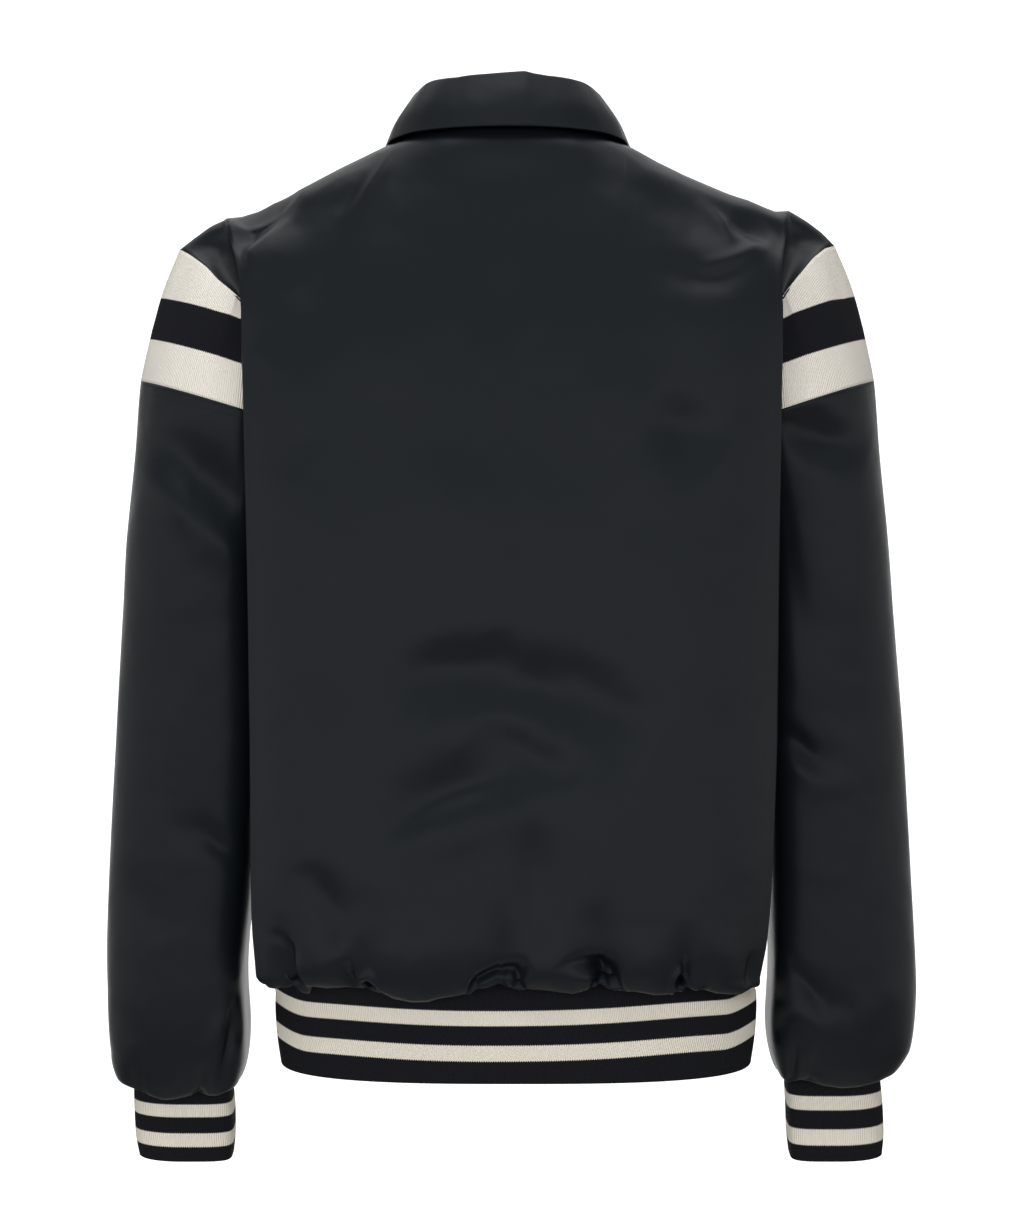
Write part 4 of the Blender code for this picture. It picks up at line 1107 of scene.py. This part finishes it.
def knit_material(name, edges, first_dark, cream):
    """Rib knit: cream and black bands, changing at each of the edges, measured down the cloth."""
    material, tree, shader = new_material(name, KNIT_LOOK)
    place, (across, down, _) = split_node(tree, "ShaderNodeUVMap", "UV")
    place.uv_map = "cloth"
    ribs = math_node(tree, "SINE", math_node(tree, "MULTIPLY", across, 2 * math.pi / RIB_PITCH))
    ragged = math_node(tree, "MULTIPLY_ADD", ribs, STRIPE_RAGGED, down)
    dark, sign = (1.0, -1.0) if first_dark else (0.0, 1.0)
    for edge in edges:
        step = map_range(tree, ragged, (edge - STRIPE_BLUR, edge + STRIPE_BLUR, 0.0, 1.0), "LINEAR")
        dark = math_node(tree, "MULTIPLY_ADD", step, sign, dark)
        sign = -sign
    mix = tree.nodes.new("ShaderNodeMix")
    mix.data_type = "RGBA"
    mix.inputs["A"].default_value = cream
    mix.inputs["B"].default_value = KNIT_BLACK
    tree.links.new(dark, mix.inputs["Factor"])
    tree.links.new(mix.outputs["Result"], shader.inputs["Base Color"])
    add_relief(tree, shader, ribs, RIB_STRENGTH, RIB_HEIGHT)
    return material


def snap_material(name):
    """Dark enamel on metal."""
    material, _, _ = new_material(name, SNAP_LOOK)
    return material


# Pieces


def new_piece(name, mesh, material):
    """An object of the scene from a finished mesh."""
    mesh.validate()
    mesh.materials.append(material)
    piece = bpy.data.objects.new(name, mesh)
    bpy.context.scene.collection.objects.link(piece)
    return piece


def grid_quads(row, column, beside, columns):
    """The corners of each square of a grid, as numbers of its points."""
    low, high = row * columns, (row + 1) * columns
    corners = [low + column, low + beside, high + beside, high + column]
    return np.stack(corners, axis=-1).reshape(-1, 4)


def cloth(name, grid, turn, thickness, material, uv=None, closed=False):
    """A sheet on a grid of outer points, thickened inwards. uv holds metres across and along it."""
    rows, columns = grid.shape[:2]
    if uv is None:
        uv = measured(grid)
    row = np.arange(rows - 1)[:, None]
    column = np.arange(columns if closed else columns - 1)[None, :]
    quads = grid_quads(row, column, (column + 1) % columns, columns)
    uv_quads = grid_quads(row, column, column + 1, uv.shape[1])
    if turn < 0:
        quads, uv_quads = quads[:, ::-1], uv_quads[:, ::-1]
    mesh = bpy.data.meshes.new(name)
    mesh.vertices.add(rows * columns)
    mesh.vertices.foreach_set("co", grid.reshape(-1))
    mesh.loops.add(quads.size)
    mesh.loops.foreach_set("vertex_index", quads.reshape(-1).astype(np.int32))
    mesh.polygons.add(len(quads))
    mesh.polygons.foreach_set("loop_start", np.arange(0, quads.size, 4, dtype=np.int32))
    layer = mesh.uv_layers.new(name="cloth")
    layer.data.foreach_set("uv", uv.reshape(-1, 2)[uv_quads.reshape(-1)].reshape(-1))
    mesh.update(calc_edges=True)
    mesh.shade_smooth()
    piece = new_piece(name + "_cloth", mesh, material)
    shell = piece.modifiers.new("thickness", "SOLIDIFY")
    shell.thickness = thickness
    shell.offset = -1.0
    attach(piece, "root")
    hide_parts(name)


def ring_faces(first, sides, rings):
    """The faces between rings of points that follow each other, from a first point on."""
    faces = []
    for base in range(first, first + (rings - 1) * sides, sides):
        for step in range(sides):
            after = (step + 1) % sides
            faces.append([base + step, base + step + sides, base + after + sides, base + after])
    return faces


def stitches(name, path, normals, material):
    """A row of stitches, each a low dash of thread, along a path on the cloth."""
    along = np.concatenate([[0.0], np.cumsum(np.linalg.norm(np.diff(path, axis=0), axis=1))])
    sides = len(STITCH_SECTION)
    points, faces = [], []
    for start in np.arange(STITCH_PITCH, along[-1] - STITCH_PITCH, STITCH_PITCH):
        middle = start + STITCH_LENGTH / 2
        at = point_at(middle, along, path)
        ahead = unit(point_at(middle + STITCH_LENGTH, along, path) - at)
        up = unit(point_at(middle, along, normals))
        side = np.cross(up, ahead)
        first = len(points)
        for share, size in STITCH_PROFILE:
            centre = at + ahead * STITCH_LENGTH * share
            for across, high in STITCH_SECTION:
                corner = side * across * STITCH_WIDTH / 2 + up * high * STITCH_HEIGHT
                points.append(centre + corner * size)
        faces += ring_faces(first, sides, len(STITCH_PROFILE))
        faces.append(list(range(first, first + sides)))
        faces.append(list(range(len(points) - 1, len(points) - 1 - sides, -1)))
    mesh = bpy.data.meshes.new(name)
    mesh.from_pydata([tuple(point) for point in points], [], faces)
    piece = new_piece(name, mesh, material)
    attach(piece, "root")
    return piece


def stitch_row(grid, turn, closed, columns, drop, from_end=False):
    """Points and normals at a distance down the grid's columns, or up from their ends."""
    normals = normals_of(grid, closed, turn)
    down = lengths_along(grid, 0)
    path, ups = [], []
    for column in columns:
        place = down[-1, column] - drop if from_end else drop
        path.append(point_at(place, down[:, column], grid[:, column]))
        ups.append(point_at(place, down[:, column], normals[:, column]))
    return np.array(path), np.array(ups)


def snap(name, centre, normal, material):
    """The cap of a snap: a low dome that rests on the cloth, with a rolled rim."""
    centre = swayed(centre)
    side = unit(np.cross(normal, (0.0, 0.0, 1.0)))
    up = np.cross(side, normal)
    points = []
    for wide, high in SNAP_PROFILE:
        for angle in np.arange(SNAP_SIDES) * 2 * math.pi / SNAP_SIDES:
            spoke = side * math.cos(angle) + up * math.sin(angle)
            points.append(centre + spoke * SNAP_RADIUS * wide + normal * SNAP_HEIGHT * high)
    points.append(centre + normal * SNAP_HEIGHT)
    last = (len(SNAP_PROFILE) - 1) * SNAP_SIDES
    faces = [list(range(SNAP_SIDES))] + ring_faces(0, SNAP_SIDES, len(SNAP_PROFILE))
    for step in range(SNAP_SIDES):
        faces.append([last + (step + 1) % SNAP_SIDES, last + step, len(points) - 1])
    mesh = bpy.data.meshes.new(name)
    mesh.from_pydata([tuple(point) for point in points], [], faces)
    mesh.shade_smooth()
    piece = new_piece(name + "_cap", mesh, material)
    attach(piece, "root")
    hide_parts(name)


def build_body(satin, hem_knit):
    """The back, both fronts and the hem band. Gives the forms of the left front and the band."""
    back = back_grid()
    left = front_grid(OVERLAP_LIFT)
    right = mirrored(front_grid(-OVERLAP_LIFT))
    hem = hem_grid(back, left, right)
    right_edge = [row for row in FRONT_EDGE if row[0] < UNDER_LAP_EDGE[0][0]] + list(UNDER_LAP_EDGE)
    back_cloth = settled(draped(back, BACK_FOLDS, BACK_EDGE, 1, -1))
    left_cloth = settled(draped(left, LEFT_FRONT_FOLDS, FRONT_EDGE, -1, 1))
    right_cloth = settled(draped(right, RIGHT_FRONT_FOLDS, right_edge, -1, -1))
    cloth("back_panel", back_cloth, -1, SATIN_THICK, satin)
    cloth("left_front", left_cloth, 1, SATIN_THICK, satin)
    cloth("right_front", right_cloth, -1, SATIN_THICK, satin)
    cloth("hem_band", settled(hem), -1, KNIT_THICK, hem_knit)
    return left, hem


def build_collar(satin):
    """The collar and the stitches above its edge."""
    collar = settled(collar_grid())
    columns = range(COLLAR_STITCH_MARGIN, collar.shape[1] - COLLAR_STITCH_MARGIN)
    row = stitch_row(collar, 1, False, columns, COLLAR_STITCH_RISE, from_end=True)
    trims = [stitches("collar_stitches", *row, satin)]
    cloth("collar", collar, 1, COLLAR_THICK, satin)


def build_sleeves(satin, insert_knit, cuff_knit):
    """Each side's lower sleeve with its stitches, its striped insert and its cuff."""
    sleeve = sleeve_grid()
    insert = insert_grid()
    cuff = cuff_grid(sleeve[-1])
    sleeve_uv, insert_uv, cuff_uv = measured(sleeve, True), measured(insert), measured(cuff, True)
    # The insert's ribs run straight down it, and its stripe follows its lower seam.
    insert_uv[..., 0] = insert_uv[-1, :, 0]
    insert_uv[..., 1] = insert_uv[-1, :, 1] - insert_uv[..., 1]
    reach = INSERT_END * SLEEVE_COLUMNS - INSERT_STITCH_MARGIN
    under_insert = [column % sleeve.shape[1] for column in range(-reach, reach + 1)]
    for side, turn in (("left", 1), ("right", -1)):
        mirror = np.array([turn, 1.0, 1.0])
        folded = settled(folded_sleeve(sleeve * mirror, -turn, side))
        row = stitch_row(folded, -turn, True, under_insert, INSERT_STITCH_DROP)
        trims = [stitches(side + "_sleeve_stitches", *row, satin)]
        sleeve_name = side + "_sleeve"
        cloth(sleeve_name, folded, -turn, SATIN_THICK, satin, sleeve_uv, True)
        top = settled(insert * mirror)
        insert_name = side + "_sleeve_insert"
        cloth(insert_name, top, -turn, KNIT_THICK, insert_knit, insert_uv)
        end = settled(cuff_raised(cuff * mirror) if side == "right" else cuff)
        cut = CUFF_CUT._replace(rests_on=(sleeve_name,))
        cloth(side + "_cuff", end, -turn, KNIT_THICK, cuff_knit, cuff_uv, True)


def build_snaps(left, hem, finish):
    """The snaps' caps, down the centre of the left front and on the hem band."""
    front = left[SNAP_FIRST_ROW:, LAP_COLUMNS]
    normals = normals_of(left, False, 1)[SNAP_FIRST_ROW:, LAP_COLUMNS]
    for number, z in enumerate(SNAP_HEIGHTS, start=1):
        centre = point_at(z, front[:, 2], front)
        normal = unit(point_at(z, front[:, 2], normals))
        snap(f"snap_{number}", centre + normal * SNAP_GAP, normal, finish)
    band = hem[:, LAP_COLUMNS]
    centre = point_at(HEM_SNAP_DROP - band[0, 2], -band[:, 2], band)
    normal = np.array([0.0, -1.0, 0.0])
    snap(f"snap_{len(SNAP_HEIGHTS) + 1}", centre + normal * SNAP_GAP, normal, finish)


# Stage


def add_light(lamp):
    """A rectangular light, turned to its target. The camera and reflections don't show it."""
    data = bpy.data.lights.new(lamp.name, "AREA")
    data.shape = "RECTANGLE"
    data.size = lamp.width
    data.size_y = lamp.height
    data.energy = lamp.power
    piece = bpy.data.objects.new(lamp.name, data)
    piece.location = lamp.place
    piece.visible_camera = False
    piece.visible_glossy = False
    toward = Vector(lamp.target) - Vector(lamp.place)
    piece.rotation_euler = toward.to_track_quat("-Z", "Y").to_euler()
    bpy.context.scene.collection.objects.link(piece)


def add_surroundings():
    """The studio all round, white, whose strength depends on the direction."""
    world = bpy.data.worlds.new("studio")
    bpy.context.scene.world = world
    world.use_nodes = True
    tree = world.node_tree
    background = tree.nodes["Background"]
    _, (_, y, z) = split_node(tree, "ShaderNodeTexCoord", "Generated")
    sky = tree.nodes.new("ShaderNodeValToRGB")
    sky.color_ramp.interpolation = "B_SPLINE"
    tree.links.new(map_range(tree, z, (-1.0, 1.0, 0.0, 1.0), "LINEAR"), sky.inputs["Fac"])
    points = sky.color_ramp.elements
    while len(points) < len(SKY):
        points.new(0.5)
    for point, (height, strength) in zip(points, SKY):
        point.position = (height + 1) / 2
        point.color = (strength, strength, strength, 1.0)
    ahead, backdrop = map_range(tree, y, AHEAD), map_range(tree, y, BACKDROP)
    around = math_node(tree, "MULTIPLY_ADD", sky.outputs["Color"], ahead, backdrop)
    above = math_node(tree, "MULTIPLY", map_range(tree, z, ABOVE_BY_Z), map_range(tree, y, ABOVE_BY_Y))
    high = math_node(tree, "MAXIMUM", above, map_range(tree, z, OVERHEAD))
    tree.links.new(math_node(tree, "ADD", around, high), background.inputs["Strength"])
    background.inputs["Color"].default_value = (1.0, 1.0, 1.0, 1.0)


def add_floor():
    """A white floor, well below the jacket. Reflections don't show it."""
    corners = ((-1, -1), (1, -1), (1, 1), (-1, 1))
    mesh = bpy.data.meshes.new("floor")
    mesh.from_pydata([(x * FLOOR_HALF, y * FLOOR_HALF, FLOOR_Z) for x, y in corners], [], [(0, 1, 2, 3)])
    material, _, _ = new_material("floor_white", FLOOR_LOOK)
    piece = new_piece("floor", mesh, material)
    piece.visible_glossy = False


def add_camera():
    """The camera, level, straight behind the wearer."""
    data = bpy.data.cameras.new("camera")
    data.lens = CAMERA_LENS
    data.sensor_width = CAMERA_SENSOR
    piece = bpy.data.objects.new("camera", data)
    piece.location = CAMERA_PLACE
    piece.rotation_euler = (math.radians(90), 0.0, math.radians(180))
    bpy.context.scene.collection.objects.link(piece)
    bpy.context.scene.camera = piece


def build_stage():
    """The surroundings, the lights, the floor and the camera."""
    bpy.context.scene.view_settings.view_transform = "Standard"
    add_surroundings()
    for lamp in LAMPS:
        add_light(lamp)
    add_floor()
    add_camera()


def main():
    """The whole scene: the CAD imported, the cloth and trims in place of its parts, and the stage."""
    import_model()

    satin = satin_material("satin_charcoal")
    hem_knit = knit_material("rib_hem", HEM_STRIPES, True, RIB_CREAM)
    cuff_knit = knit_material("rib_cuff", CUFF_STRIPES, True, RIB_CREAM)
    insert_knit = knit_material("rib_insert", INSERT_STRIPE, False, INSERT_CREAM)
    snap_finish = snap_material("snap_enamel")

    left, hem = build_body(satin, hem_knit)
    build_collar(satin)
    build_sleeves(satin, insert_knit, cuff_knit)
    build_snaps(left, hem, snap_finish)

    build_stage()


main()
